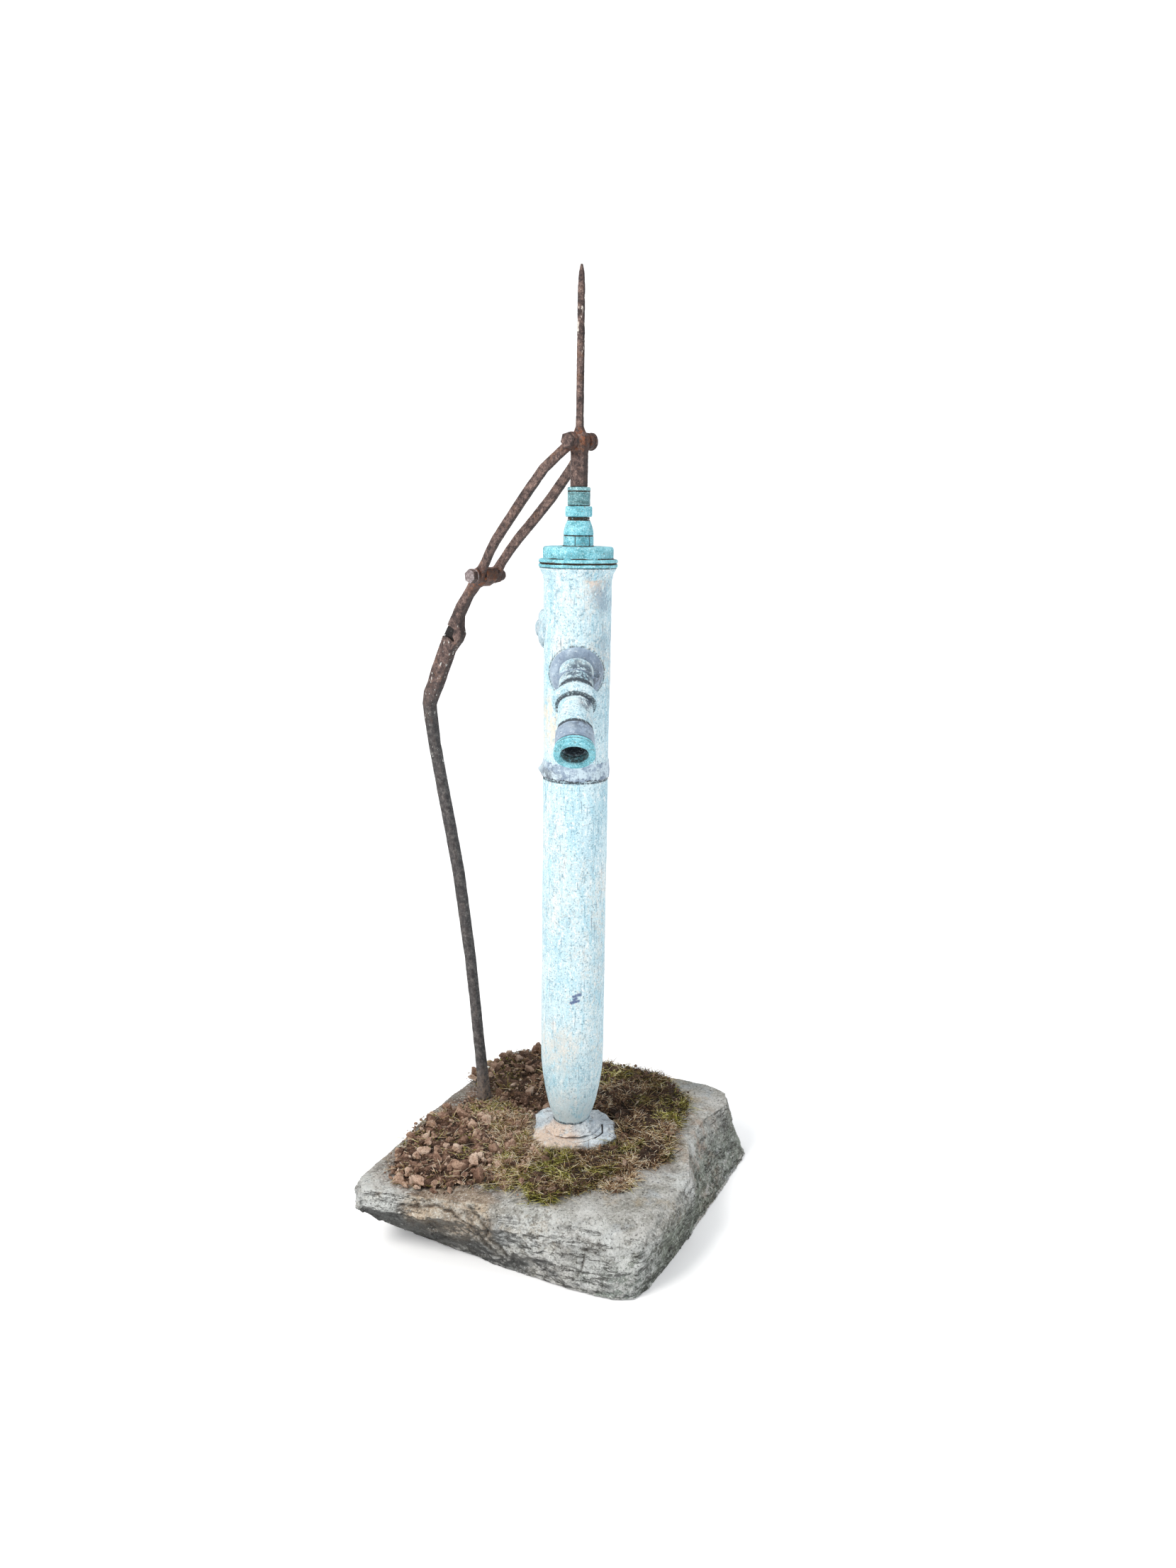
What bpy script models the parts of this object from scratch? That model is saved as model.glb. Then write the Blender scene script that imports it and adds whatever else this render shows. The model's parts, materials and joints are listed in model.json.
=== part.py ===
"""Lead hand well pump on a stone block: turned lead barrel, brass head and gland, iron rod, fork and handle.

Metres, +Z up. The origin is on the stone's underside, on the axis of the barrel. The spout points to -Y.
"""
from math import atan2, cos, hypot, pi, radians, sin

import bmesh
import bpy
from mathutils import Matrix, Vector

MM = 0.001
GAP = 0.3 * MM                # clearance between pieces that touch
MERGE = 0.00001
ROUND = 24                    # sides of the barrel and of everything turned about it
FINE = 16                     # sides of the pins, their holes and the spout

# Driving dimensions
STONE_TOP = 118 * MM
PLATE_TOP = 132 * MM
TAIL_BORE = 13 * MM
BARREL_RADIUS = 54 * MM
BARREL_WALL = 9 * MM
JOINT_HEIGHT = 780 * MM       # where the lower and the upper barrel meet
HEAD_HEIGHT = 1110 * MM       # top end of the upper barrel
HEAD_RADIUS = 64 * MM
COVER_RADIUS = 57 * MM
COVER_TOP = 1143 * MM
GLAND_TOP = 1236 * MM
ROD_RADIUS = 9 * MM
ROD_CLEARANCE = 0.9 * MM
HEAD_ACROSS = 27 * MM         # the octagonal part of the rod's head
SPIKE_RADIUS = 6 * MM
SPIKE_TOP = 1571 * MM
PIN_RADIUS = 7 * MM
PIN_HOLE = 7.35 * MM
UPPER_PIN = (0.0, 1307.0)     # in the fork's plane: distance from the barrel's axis and height, mm
LOWER_PIN = (204.3, 1088.0)
FORK_AZIMUTH = radians(141)   # the fork and handle lie in a vertical plane at this angle from +X
STRAP_HALF_GAP = 20           # from the plane to the middle of each strap's eye, mm
STRAP_HALF_THICK = 4
SPOUT_HEIGHT = 947.5 * MM
SPOUT_START = 40 * MM         # the spout's path starts inside the barrel's wall
SPOUT_LENGTH = 199 * MM       # along its path, from that start to the mouth
SPOUT_SLOPES = (radians(32), radians(42))
SPOUT_RADIUS = 27.5 * MM
SPOUT_BORE = 20.5 * MM
DELIVERY_HEIGHT = 1010 * MM
DELIVERY_AZIMUTH = radians(165)
BUCKET_HEIGHT = 545 * MM      # underside of the bucket at the bottom of its stroke
SEAT_HEIGHT = 262 * MM        # underside of the foot valve's seat

OUTWARD = Vector((cos(FORK_AZIMUTH), sin(FORK_AZIMUTH), 0))
NEARWARD = Vector((-sin(FORK_AZIMUTH), cos(FORK_AZIMUTH), 0))
UP = Vector((0, 0, 1))

# Outlines in millimetres. The stone's crown, rim and underside have their corners in the same order.
STONE_CROWN = [(292, 126), (293, 174), (258, 214), (172, 247), (62, 297), (-66, 356), (-112, 357),
               (-138, 340), (-203, 205), (-264, 68), (-314, -78), (-349, -162), (-336, -202),
               (-258, -217), (-150, -236), (-40, -246), (30, -258), (85, -268), (125, -262),
               (158, -228), (200, -152), (208, -20), (240, 62)]
STONE_RIM = [(300, 125), (303, 180), (265, 222), (176, 256), (65, 306), (-69, 366), (-118, 368),
             (-145, 345), (-206, 205), (-270, 68), (-323, -80), (-362, -165), (-350, -213),
             (-262, -232), (-150, -258), (-20, -295), (60, -320), (110, -322), (136, -300),
             (175, -240), (214, -154), (224, -20), (255, 60)]
STONE_FOOT = [(335, 150), (325, 205), (270, 235), (180, 262), (65, 305), (-65, 355), (-110, 355),
              (-135, 330), (-195, 200), (-250, 65), (-290, -60), (-285, -110), (-255, -145),
              (-203, -177), (-111, -232), (0, -295), (70, -322), (104, -322), (130, -290),
              (165, -220), (205, -140), (262, -18), (300, 70)]
STONE_LEVELS = [(0, 0.0, 0.0), (45, 0.55, 0.0), (88, 1.0, 0.0), (107, 1.0, 0.42), (118, 1.0, 1.0)]

PLATE = [(79, 20), (50, 70), (-46, 74), (-66, 50), (-67, -44), (-42, -71), (54, -64), (78, -36)]

GROUND_COVER = {
    "soil_left": (18, [(-296, -150), (-283, -60), (-262, 30), (-216, 62), (-160, 30), (-128, -40),
                       (-128, -110), (-150, -178), (-212, -203), (-268, -186)]),
    "soil_back": (16, [(-150, 160), (-196, 206), (-160, 262), (-104, 322), (-66, 334), (-22, 300),
                       (0, 200), (-20, 110), (-66, 84), (-130, 128)]),
    "moss_centre": (13, [(-122, 52), (-150, 46), (-122, -36), (-121, -112), (-142, -182), (-104, -198),
                         (-80, -190), (-62, -132), (-52, -88), (-80, -40), (-84, 0), (-88, 40)]),
    "moss_front": (14, [(-46, -86), (38, -84), (88, -40), (116, -66), (106, -142), (62, -150), (42, -192),
                        (0, -212), (-28, -238), (-64, -232), (-74, -192), (-56, -134)]),
    "moss_right": (15, [(92, -36), (84, 30), (60, 66), (34, 88), (16, 120), (8, 206), (56, 284),
                        (164, 238), (218, 122), (192, 30), (178, -24), (164, -108), (122, -128),
                        (122, -66)]),
    "moss_tuft": (9, [(58, -176), (84, -168), (108, -160), (104, -186), (80, -202), (56, -196)]),
}

# The handle from its eye to the bend: outer edge, inner edge and thickness, in the fork's plane.
HANDLE_UPPER = [((189, 1101), (187, 1093), 26), ((199, 1103), (188, 1083), 30),
                ((211.5, 1101), (197, 1075), 30), ((221, 1095.5), (206.5, 1070), 30),
                ((229, 1085), (217.5, 1070.5), 26), ((242.5, 1070.4), (225.5, 1065.6), 18),
                ((259.6, 1049.1), (241.4, 1047.9), 17), ((270.4, 1037.7), (252.6, 1029.3), 17),
                ((282.6, 1016.1), (262.0, 1014.9), 17), ((296.1, 994.9), (262.9, 997.1), 17),
                ((303.6, 983.0), (259.4, 983.0), 17), ((310.6, 965.8), (266.4, 970.2), 17),
                ((321.6, 944.8), (285.4, 950.2), 17), ((336.1, 915.2), (304.4, 910.8), 17),
                ((345.5, 892.5), (317.5, 882.5), 17), ((355.1, 875.0), (328.5, 865.5), 17.5),
                ((358.6, 852.2), (335.9, 849.8), 17.5), ((355.1, 828.8), (333.9, 831.2), 17.5)]
# Below the bend: centre, width across and thickness. The foot flares out gently.
HANDLE_LOWER = [((334.9, 777.6), 20.5, 17), ((315.7, 700.7), 20.5, 17), ((295.5, 623.8), 20.5, 17),
                ((276.2, 546.4), 20, 17), ((261.4, 467.8), 19.5, 16.5), ((247.4, 388.5), 19, 16),
                ((236.1, 308.0), 18.5, 15.5), ((225.5, 226.5), 18, 16), ((219, 180), 18.5, 17.5),
                ((215.5, 152), 20, 19.5), ((214, 135), 21.5, 21), ((213.2, 124), 23, 22.5),
                ((213.2, 119.6), 22.5, 22)]
NOTCH = [(290, 998), (274, 991), (280, 979), (275, 972), (277, 969), (289.5, 976), (303, 978),
         (316, 984), (302, 1008)]
NOTCH_DEPTH = 11

# One strap of the fork: place along it in the plane, distance from the plane, and half width.
STRAP = [((-8.7, 1315.3), 20, 6), ((-6.9, 1313.6), 20, 9.5), ((-3.6, 1310.5), 20, 12.6),
         ((0, 1307), 20, 13.5), ((4.3, 1302.9), 20, 12), ((9, 1298.4), 20, 8),
         ((22, 1286), 25, 7.8), ((45.5, 1264.5), 33, 8.2), ((86, 1221), 34, 8.4),
         ((120, 1186), 31, 8.4), ((155, 1151), 27, 8.2), ((172, 1131), 24, 8),
         ((187, 1111), 20.8, 8), ((195.4, 1098.8), 20, 9), ((200.3, 1092.5), 20, 12),
         ((204.3, 1088), 20, 13.5), ((207.6, 1084.2), 20, 12.6), ((210.5, 1080.8), 20, 9.5),
         ((212.2, 1078.9), 20, 6)]


def clear_scene():
    for existing in list(bpy.data.objects):
        bpy.data.objects.remove(existing, do_unlink=True)


def make_material(name, colour, roughness, metallic=0.0):
    material = bpy.data.materials.new(name)
    material.use_nodes = True
    shader = material.node_tree.nodes["Principled BSDF"]
    shader.inputs["Base Color"].default_value = (*colour, 1)
    shader.inputs["Roughness"].default_value = roughness
    shader.inputs["Metallic"].default_value = metallic
    material.diffuse_color = (*colour, 1)
    return material


clear_scene()
LEAD = make_material("lead", (0.62, 0.76, 0.80), 0.65)
SOLDER = make_material("wiped_solder", (0.38, 0.46, 0.52), 0.6)
VERDIGRIS = make_material("verdigris_brass", (0.20, 0.60, 0.62), 0.6)
BRASS = make_material("inner_brass", (0.60, 0.45, 0.20), 0.4, 0.9)
IRON = make_material("rusted_iron", (0.13, 0.08, 0.06), 0.8, 0.3)
LEATHER = make_material("leather", (0.12, 0.07, 0.04), 0.8)
HEMP = make_material("hemp", (0.35, 0.27, 0.16), 0.9)
STONE = make_material("stone", (0.42, 0.40, 0.36), 0.9)
SOIL = make_material("soil", (0.16, 0.10, 0.07), 0.95)
MOSS = make_material("moss", (0.15, 0.13, 0.05), 0.95)


def add_object(name, bm, material, parent=None):
    """Close up a bmesh, make it an object and hang it on the empty of its joint."""
    bmesh.ops.remove_doubles(bm, verts=bm.verts, dist=MERGE)
    bmesh.ops.recalc_face_normals(bm, faces=bm.faces)
    if bm.calc_volume(signed=True) < 0:
        bmesh.ops.reverse_faces(bm, faces=bm.faces)
    mesh = bpy.data.meshes.new(name)
    bm.to_mesh(mesh)
    bm.free()
    mesh.shade_smooth()
    mesh.set_sharp_from_angle(angle=radians(35))
    if material is not None:
        mesh.materials.append(material)
    made = bpy.data.objects.new(name, mesh)
    bpy.context.scene.collection.objects.link(made)
    if parent is not None:
        made.parent = parent
        made.matrix_parent_inverse = Matrix.Translation(parent.location).inverted()
    return made


def add_joint_empty(name, place, parent=None):
    """An empty on a joint's axis. Its pieces hang on it."""
    empty = bpy.data.objects.new(name, None)
    empty.empty_display_size = 0.03
    bpy.context.scene.collection.objects.link(empty)
    empty.location = place
    if parent is not None:
        empty.parent = parent
        empty.matrix_parent_inverse = Matrix.Translation(parent.location).inverted()
    return empty


def turned_mesh(profile, sides=ROUND, placement=None):
    """Spin (radius, height) points about Z: a ring, or a solid where both ends lie on the axis."""
    bm = bmesh.new()
    verts = [bm.verts.new((radius, 0, height)) for radius, height in profile]
    edges = [bm.edges.new(pair) for pair in zip(verts, verts[1:])]
    if profile[0][0] > 0:
        edges.append(bm.edges.new((verts[-1], verts[0])))
    bmesh.ops.spin(bm, geom=verts + edges, cent=(0, 0, 0), axis=UP, angle=2 * pi, steps=sides)
    if placement is not None:
        bmesh.ops.transform(bm, matrix=placement, verts=bm.verts)
    return bm


def turned(name, profile, material, sides=ROUND, placement=None, parent=None):
    return add_object(name, turned_mesh(profile, sides, placement), material, parent)


def lofted_mesh(loops, ring=False):
    """Skin a row of equal loops. Capped at both ends, or closed on itself as a ring."""
    bm = bmesh.new()
    rows = [[bm.verts.new(point) for point in loop] for loop in loops]
    pairs = list(zip(rows, rows[1:]))
    if ring:
        pairs.append((rows[-1], rows[0]))
    else:
        bm.faces.new(rows[0])
        bm.faces.new(rows[-1])
    for row, following in pairs:
        for index in range(len(row)):
            after = (index + 1) % len(row)
            bm.faces.new((row[index], row[after], following[after], following[index]))
    return bm


def lofted(name, loops, material, ring=False, parent=None):
    return add_object(name, lofted_mesh(loops, ring), material, parent)


def cutter(name, bm):
    made = add_object(name, bm, None)
    made.hide_render = True
    made.display_type = 'WIRE'
    return made


def cut(target, tool):
    modifier = target.modifiers.new("cut_" + tool.name, 'BOOLEAN')
    modifier.operation = 'DIFFERENCE'
    modifier.solver = 'EXACT'
    modifier.object = tool


def along(origin, direction):
    """Placement that turns +Z to a direction and moves the origin there."""
    return Matrix.Translation(origin) @ direction.to_track_quat('Z', 'Y').to_matrix().to_4x4()


def level_loop(outline, height, scale=1.0):
    """A horizontal loop of an outline in millimetres, shrunk about its middle."""
    middle = sum((Vector(point) for point in outline), Vector((0, 0))) / len(outline)
    points = [middle + (Vector(point) - middle) * scale for point in outline]
    return [Vector((point.x * MM, point.y * MM, height)) for point in points]


def regular(sides, radius, height):
    """A level regular polygon with a flat side towards +X."""
    angles = [(index + 0.5) * 2 * pi / sides for index in range(sides)]
    return [Vector((radius * cos(angle), radius * sin(angle), height)) for angle in angles]


def in_plane(place, off=0.0):
    """A point of the fork's plane, from millimetres: (distance from the axis, height) and off the plane."""
    return (OUTWARD * place[0] + UP * place[1] + NEARWARD * off) * MM


def bar_section(centre, across, half_width, half_thick, off=0.0, chamfer=0.22):
    """A rectangle with cut corners, across a bar that lies in the fork's plane."""
    bevel = chamfer * min(half_width, half_thick)
    corners = []
    for side, face in ((1, 1), (1, -1), (-1, -1), (-1, 1)):
        pair = [(side * (half_width - bevel), face * half_thick),
                (side * half_width, face * (half_thick - bevel))]
        if side * face < 0:
            pair.reverse()
        corners += pair
    return [in_plane((centre[0] + across[0] * width, centre[1] + across[1] * width), off + thick)
            for width, thick in corners]


def across_path(points, index):
    """Unit vector at right angles to a path of the fork's plane."""
    before = points[max(index - 1, 0)]
    after = points[min(index + 1, len(points) - 1)]
    run, rise = after[0] - before[0], after[1] - before[1]
    length = hypot(run, rise)
    return (-rise / length, run / length)


# ---------------------------------------------------------------- stone, soil and moss

def build_stone():
    loops = []
    for height, lean, close in STONE_LEVELS:
        outline = []
        for foot, rim, crown in zip(STONE_FOOT, STONE_RIM, STONE_CROWN):
            side = Vector(foot).lerp(Vector(rim), lean)
            outline.append(side.lerp(Vector(crown), close))
        loops.append(level_loop(outline, height * MM))
    lofted("stone_base", loops, STONE)


def build_ground_cover():
    bottom = STONE_TOP + GAP
    for name, (height, outline) in GROUND_COVER.items():
        top = bottom + height * MM
        loops = [level_loop(outline, bottom), level_loop(outline, (bottom + top) / 2, 0.98),
                 level_loop(outline, top, 0.86)]
        lofted(name, loops, SOIL if name.startswith("soil") else MOSS)


# ---------------------------------------------------------------- lead barrel

def build_foot():
    bottom = STONE_TOP + GAP
    loops = [level_loop(PLATE, bottom, 0.97), level_loop(PLATE, bottom + 4 * MM),
             level_loop(PLATE, PLATE_TOP - 4 * MM), level_loop(PLATE, PLATE_TOP, 0.95),
             regular(8, TAIL_BORE, PLATE_TOP), regular(8, TAIL_BORE, bottom)]
    lofted("foot_plate", loops, LEAD, ring=True)
    base = PLATE_TOP + GAP
    turned("foot_wiped_joint", [(50 * MM, base), (49 * MM, base + 4 * MM), (42 * MM, base + 10 * MM),
                                (36 * MM, base + 16 * MM), (33 * MM, base + 20 * MM),
                                (31.3 * MM, base + 20 * MM), (30.4 * MM, base + 15 * MM),
                                (30.4 * MM, base)], SOLDER)


def build_lower_barrel():
    base = PLATE_TOP + GAP
    outer = BARREL_RADIUS
    bore = outer - BARREL_WALL
    ledge = SEAT_HEIGHT - GAP
    top = JOINT_HEIGHT - GAP
    turned("lower_barrel", [(30 * MM, base), (30 * MM, base + 15 * MM), (31 * MM, 153 * MM),
                            (38 * MM, 171 * MM), (44.6 * MM, 197 * MM), (51.5 * MM, 240 * MM),
                            (outer, 275 * MM), (outer, top), (bore, top), (bore, ledge),
                            (38 * MM, ledge), (34 * MM, 205 * MM), (TAIL_BORE, 165 * MM),
                            (TAIL_BORE, base)], LEAD)


def build_barrel_band():
    """The wiped joint between the two barrels, with a drip left on its -X side."""
    inner = BARREL_RADIUS + GAP
    bm = turned_mesh([(inner, 766 * MM), (56 * MM, 767 * MM), (57.3 * MM, 774 * MM), (57.3 * MM, 786 * MM),
                      (56 * MM, 793 * MM), (inner, 794 * MM)])
    for vert in bm.verts:
        turn = abs(atan2(vert.co.y, -vert.co.x))
        if hypot(vert.co.x, vert.co.y) > 57 * MM and turn < radians(17):
            vert.co *= Vector((1 + 0.09 * cos(turn * 4), 1, 1))
    add_object("barrel_band", bm, SOLDER)


def build_upper_barrel():
    bore = 46 * MM
    barrel = turned("upper_barrel", [(53.8 * MM, JOINT_HEIGHT), (53.8 * MM, 800 * MM),
                                     (55.4 * MM, 1085 * MM), (55.4 * MM, HEAD_HEIGHT),
                                     (bore, HEAD_HEIGHT), (bore, JOINT_HEIGHT)], LEAD)
    first, heading = spout_path(0)
    way = turned_mesh([(0, 0), (SPOUT_BORE, 0), (SPOUT_BORE, 40 * MM), (0, 40 * MM)], FINE,
                      along(first - heading * 8 * MM, heading))
    cut(barrel, cutter("spout_way", way))
    side = delivery_direction()
    way = turned_mesh([(0, 0), (9 * MM, 0), (9 * MM, 40 * MM), (0, 40 * MM)], FINE,
                      along(side * 35 * MM + UP * DELIVERY_HEIGHT, side))
    cut(barrel, cutter("delivery_way", way))


# ---------------------------------------------------------------- spout

def spout_path(distance):
    """Point and heading on the spout's axis: a smooth bend that steepens from one slope to the other."""
    first, last = SPOUT_SLOPES
    bend = (last - first) / SPOUT_LENGTH
    slope = first + bend * distance
    run = (sin(slope) - sin(first)) / bend
    drop = (cos(first) - cos(slope)) / bend
    start_height = SPOUT_HEIGHT + (BARREL_RADIUS - SPOUT_START) * sin(first) / cos(first)
    point = Vector((0, -SPOUT_START - run, start_height - drop))
    return point, Vector((0, -cos(slope), -sin(slope)))


def spout_ring(distance, radius):
    point, heading = spout_path(distance)
    side = Vector((1, 0, 0))
    rise = side.cross(heading)
    angles = [index * 2 * pi / FINE for index in range(FINE)]
    return [point + (side * cos(angle) + rise * sin(angle)) * radius for angle in angles]


def spout_tube(profile):
    """Rings (distance along the spout, radius) in order round a closed profile."""
    return [spout_ring(distance * MM, radius * MM) for distance, radius in profile]


def build_spout(barrel_cutter):
    mouth = SPOUT_LENGTH / MM
    ring_start = mouth - 18
    pipe_steps = [10, 40, 70, 100, 130, 155, ring_start - 0.3]
    outer = SPOUT_RADIUS / MM
    bore = SPOUT_BORE / MM
    tube = [(step, outer) for step in pipe_steps] + [(step, bore) for step in reversed(pipe_steps)]
    pipe = lofted("spout_pipe", spout_tube(tube), LEAD, ring=True)
    cut(pipe, barrel_cutter)
    sleeve = outer + 0.35
    bead = [(81, sleeve), (81.5, 31.5), (84, 35), (89, 36), (94, 35), (96.5, 31.5), (97, sleeve)]
    lofted("spout_bead", spout_tube(bead), LEAD, ring=True)
    joint = [(ring_start - 28, sleeve), (ring_start - 27, 28.9), (ring_start - 16, 30.2),
             (ring_start - 5, 30.4), (ring_start - 0.3, 29.6), (ring_start - 0.3, sleeve)]
    lofted("spout_joint", spout_tube(joint), SOLDER, ring=True)
    ring = [(ring_start, 30), (ring_start + 3, 31.6), (mouth - 3, 32.2), (mouth, 31.2), (mouth, bore),
            (ring_start, bore)]
    lofted("outlet_ring", spout_tube(ring), VERDIGRIS, ring=True)
    forward = Vector((0, -1, 0))
    dome = [(0, 0), (43 * MM, 0), (43 * MM, 12 * MM), (41.5 * MM, 20 * MM), (38.5 * MM, 29 * MM),
            (34.5 * MM, 36 * MM), (31 * MM, 41 * MM), (0, 41 * MM)]
    collar = turned("spout_collar", dome, SOLDER, FINE, along(Vector((0, -36 * MM, 943 * MM)), forward))
    cut(collar, barrel_cutter)
    steps = [-40, -10, 10, 40, 70, 90]
    cut(collar, cutter("spout_pipe_way", lofted_mesh(spout_tube([(step, outer + 0.35) for step in steps]))))


def delivery_direction():
    return Vector((cos(DELIVERY_AZIMUTH), sin(DELIVERY_AZIMUTH), 0))


def build_delivery(barrel_cutter):
    """The capped-off side outlet: a wiped collar, a short stub of pipe and the plug that closes it."""
    side = delivery_direction()
    placement = along(side * 40 * MM + UP * DELIVERY_HEIGHT, side)
    bore = 9 * MM
    stub = turned("delivery_stub", [(14 * MM, 0), (14 * MM, 25 * MM), (bore, 25 * MM), (bore, 0)],
                  LEAD, FINE, placement)
    cut(stub, barrel_cutter)
    turned("delivery_plug", [(0, 25.3 * MM), (14.5 * MM, 25.3 * MM), (14.5 * MM, 27 * MM),
                             (12 * MM, 28.2 * MM), (0, 28.2 * MM)], SOLDER, FINE, placement)
    collar = turned("delivery_collar", [(14.35 * MM, 0), (32 * MM, 0), (32 * MM, 9 * MM), (28 * MM, 14 * MM),
                                        (22 * MM, 18 * MM), (16.5 * MM, 21 * MM), (14.35 * MM, 21 * MM)],
                    SOLDER, FINE, placement)
    cut(collar, barrel_cutter)


# ---------------------------------------------------------------- head and gland

def build_head():
    bore = 46 * MM
    top = HEAD_HEIGHT
    turned("head_collar", [(55.8 * MM, 1092 * MM), (58 * MM, 1097 * MM), (62 * MM, 1105 * MM), (63 * MM, top),
                           (55.8 * MM, top)], LEAD)
    ring = top + GAP
    turned("head_ring", [(HEAD_RADIUS, ring + 1 * MM), (HEAD_RADIUS, ring + 4.2 * MM),
                         (63 * MM, ring + 5.2 * MM), (bore, ring + 5.2 * MM), (bore, ring), (63 * MM, ring)],
           VERDIGRIS)
    turned("head_gasket", [(62 * MM, top + 5.8 * MM), (62 * MM, top + 6.7 * MM), (48 * MM, top + 6.7 * MM),
                           (48 * MM, top + 5.8 * MM)], LEATHER)
    hole = ROD_RADIUS + ROD_CLEARANCE
    turned("head_cover", [(63 * MM, top + 7 * MM), (HEAD_RADIUS, top + 8 * MM), (HEAD_RADIUS, top + 12 * MM),
                          (63 * MM, top + 13 * MM), (COVER_RADIUS, top + 13.5 * MM),
                          (COVER_RADIUS, COVER_TOP - 3 * MM), (COVER_RADIUS - 3 * MM, COVER_TOP),
                          (hole, COVER_TOP), (hole, top + 7 * MM)], VERDIGRIS)


def build_gland():
    hole = ROD_RADIUS + ROD_CLEARANCE
    box = 15 * MM
    base = COVER_TOP + GAP
    turned("gland_body", [(24.5 * MM, base), (24.5 * MM, 1159 * MM), (23.8 * MM, 1160.5 * MM),
                          (24.4 * MM, 1162 * MM), (23.6 * MM, 1169 * MM), (21.6 * MM, 1177 * MM),
                          (18.3 * MM, 1185 * MM), (box, 1185 * MM), (box, 1150 * MM), (hole, 1150 * MM),
                          (hole, base)], VERDIGRIS)
    turned("gland_packing", [(14.6 * MM, 1150.3 * MM), (14.6 * MM, 1172 * MM), (9.5 * MM, 1172 * MM),
                             (9.5 * MM, 1150.3 * MM)], HEMP)
    turned("gland_collar", [(17.5 * MM, 1185.3 * MM), (17.5 * MM, 1189.2 * MM), (box, 1189.2 * MM),
                            (box, 1185.3 * MM)], VERDIGRIS)
    corner = 22.3 * MM
    bore = 14.9 * MM
    lofted("gland_nut", [regular(8, corner - 1.5 * MM, 1189.5 * MM), regular(8, corner, 1191.5 * MM),
                         regular(8, corner, 1204 * MM), regular(8, corner - 1.5 * MM, 1206 * MM),
                         regular(8, bore * 1.09, 1206 * MM), regular(8, bore * 1.09, 1189.5 * MM)],
           VERDIGRIS, ring=True)
    neck = 14.5 * MM
    turned("gland_sleeve", [(neck, 1172.3 * MM), (neck, 1206.3 * MM), (18.5 * MM, 1206.3 * MM),
                            (18.5 * MM, 1234 * MM), (17.5 * MM, GLAND_TOP), (hole, GLAND_TOP),
                            (hole, 1172.3 * MM)], VERDIGRIS)


# ---------------------------------------------------------------- rod and bucket

def build_rod(rod_axis, upper_pin_cutter):
    """The forged head: octagonal, with the pin's eye, drawn out above into a guide spike."""
    half = HEAD_ACROSS / 2 / MM
    levels = [(GLAND_TOP / MM + 0.3, half, half), (1288, half, half), (1295, 15, 14.5), (1307, 17, 15),
              (1315, 15.5, 14.5), (1321, 9.5, 9.5), (1329, 6.4, 6.4), (1345, 6, 6), (1440, 6, 6),
              (1535, 5.6, 5.6), (1558, 4.4, 4.4), (SPIKE_TOP / MM, 2, 2)]
    loops = []
    for height, outward, nearward in levels:
        corners = [((index + 0.5) * pi / 4) for index in range(8)]
        stretch = 1 / cos(pi / 8)
        loops.append([in_plane((cos(angle) * outward * stretch, height), sin(angle) * nearward * stretch)
                      for angle in corners])
    head = lofted("rod_head", loops, IRON, parent=rod_axis)
    cut(head, upper_pin_cutter)
    foot = (BUCKET_HEIGHT / MM + 89.6) * MM
    turned("pump_rod", [(0, foot), (ROD_RADIUS, foot), (ROD_RADIUS, GLAND_TOP), (0, GLAND_TOP)], BRASS,
           ROUND, parent=rod_axis)


def build_bucket(rod_axis, valve_axis):
    """The piston: a brass body with a cup leather, a yoke up to the rod, and a lifting valve."""
    low = BUCKET_HEIGHT
    body_top = low + 45 * MM
    turned("bucket_body", [(40.2 * MM, low), (40.2 * MM, low + 38 * MM), (43.2 * MM, low + 38 * MM),
                           (43.2 * MM, body_top), (22 * MM, body_top), (22 * MM, low)],
           BRASS, parent=rod_axis)
    turned("cup_leather", [(40.6 * MM, low + 0.3 * MM), (44.4 * MM, low + 0.3 * MM),
                           (44.6 * MM, low + 30 * MM), (43.4 * MM, low + 37 * MM),
                           (40.6 * MM, low + 37 * MM)], LEATHER, parent=rod_axis)
    turned("bucket_ring", [(43.4 * MM, low - 7 * MM), (43.4 * MM, low - GAP), (22 * MM, low - GAP),
                           (22 * MM, low - 7 * MM)], BRASS, parent=rod_axis)
    foot = low / MM + 45.3
    arch = [(-37, foot), (-31, foot), (-31, foot + 28), (31, foot + 28), (31, foot), (37, foot),
            (37, foot + 36), (12, foot + 44), (-12, foot + 44), (-37, foot + 36)]
    loops = [[Vector((point[0] * MM, depth * MM, point[1] * MM)) for point in arch] for depth in (-6, 6)]
    lofted("bucket_yoke", loops, BRASS, parent=rod_axis)
    seat = body_top + GAP
    turned("bucket_valve", [(0, seat), (26 * MM, seat), (26 * MM, seat + 6 * MM), (8 * MM, seat + 9 * MM),
                            (0, seat + 9 * MM)], BRASS, parent=valve_axis)
    wing, web = 21, 2
    plus = [(wing, web), (web, web), (web, wing), (-web, wing), (-web, web), (-wing, web),
            (-wing, -web), (-web, -web), (-web, -wing), (web, -wing), (web, -web), (wing, -web)]
    loops = [[Vector((point[0] * MM, point[1] * MM, height)) for point in plus]
             for height in (low + 12 * MM, body_top)]
    lofted("bucket_valve_guide", loops, BRASS, parent=valve_axis)


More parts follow.
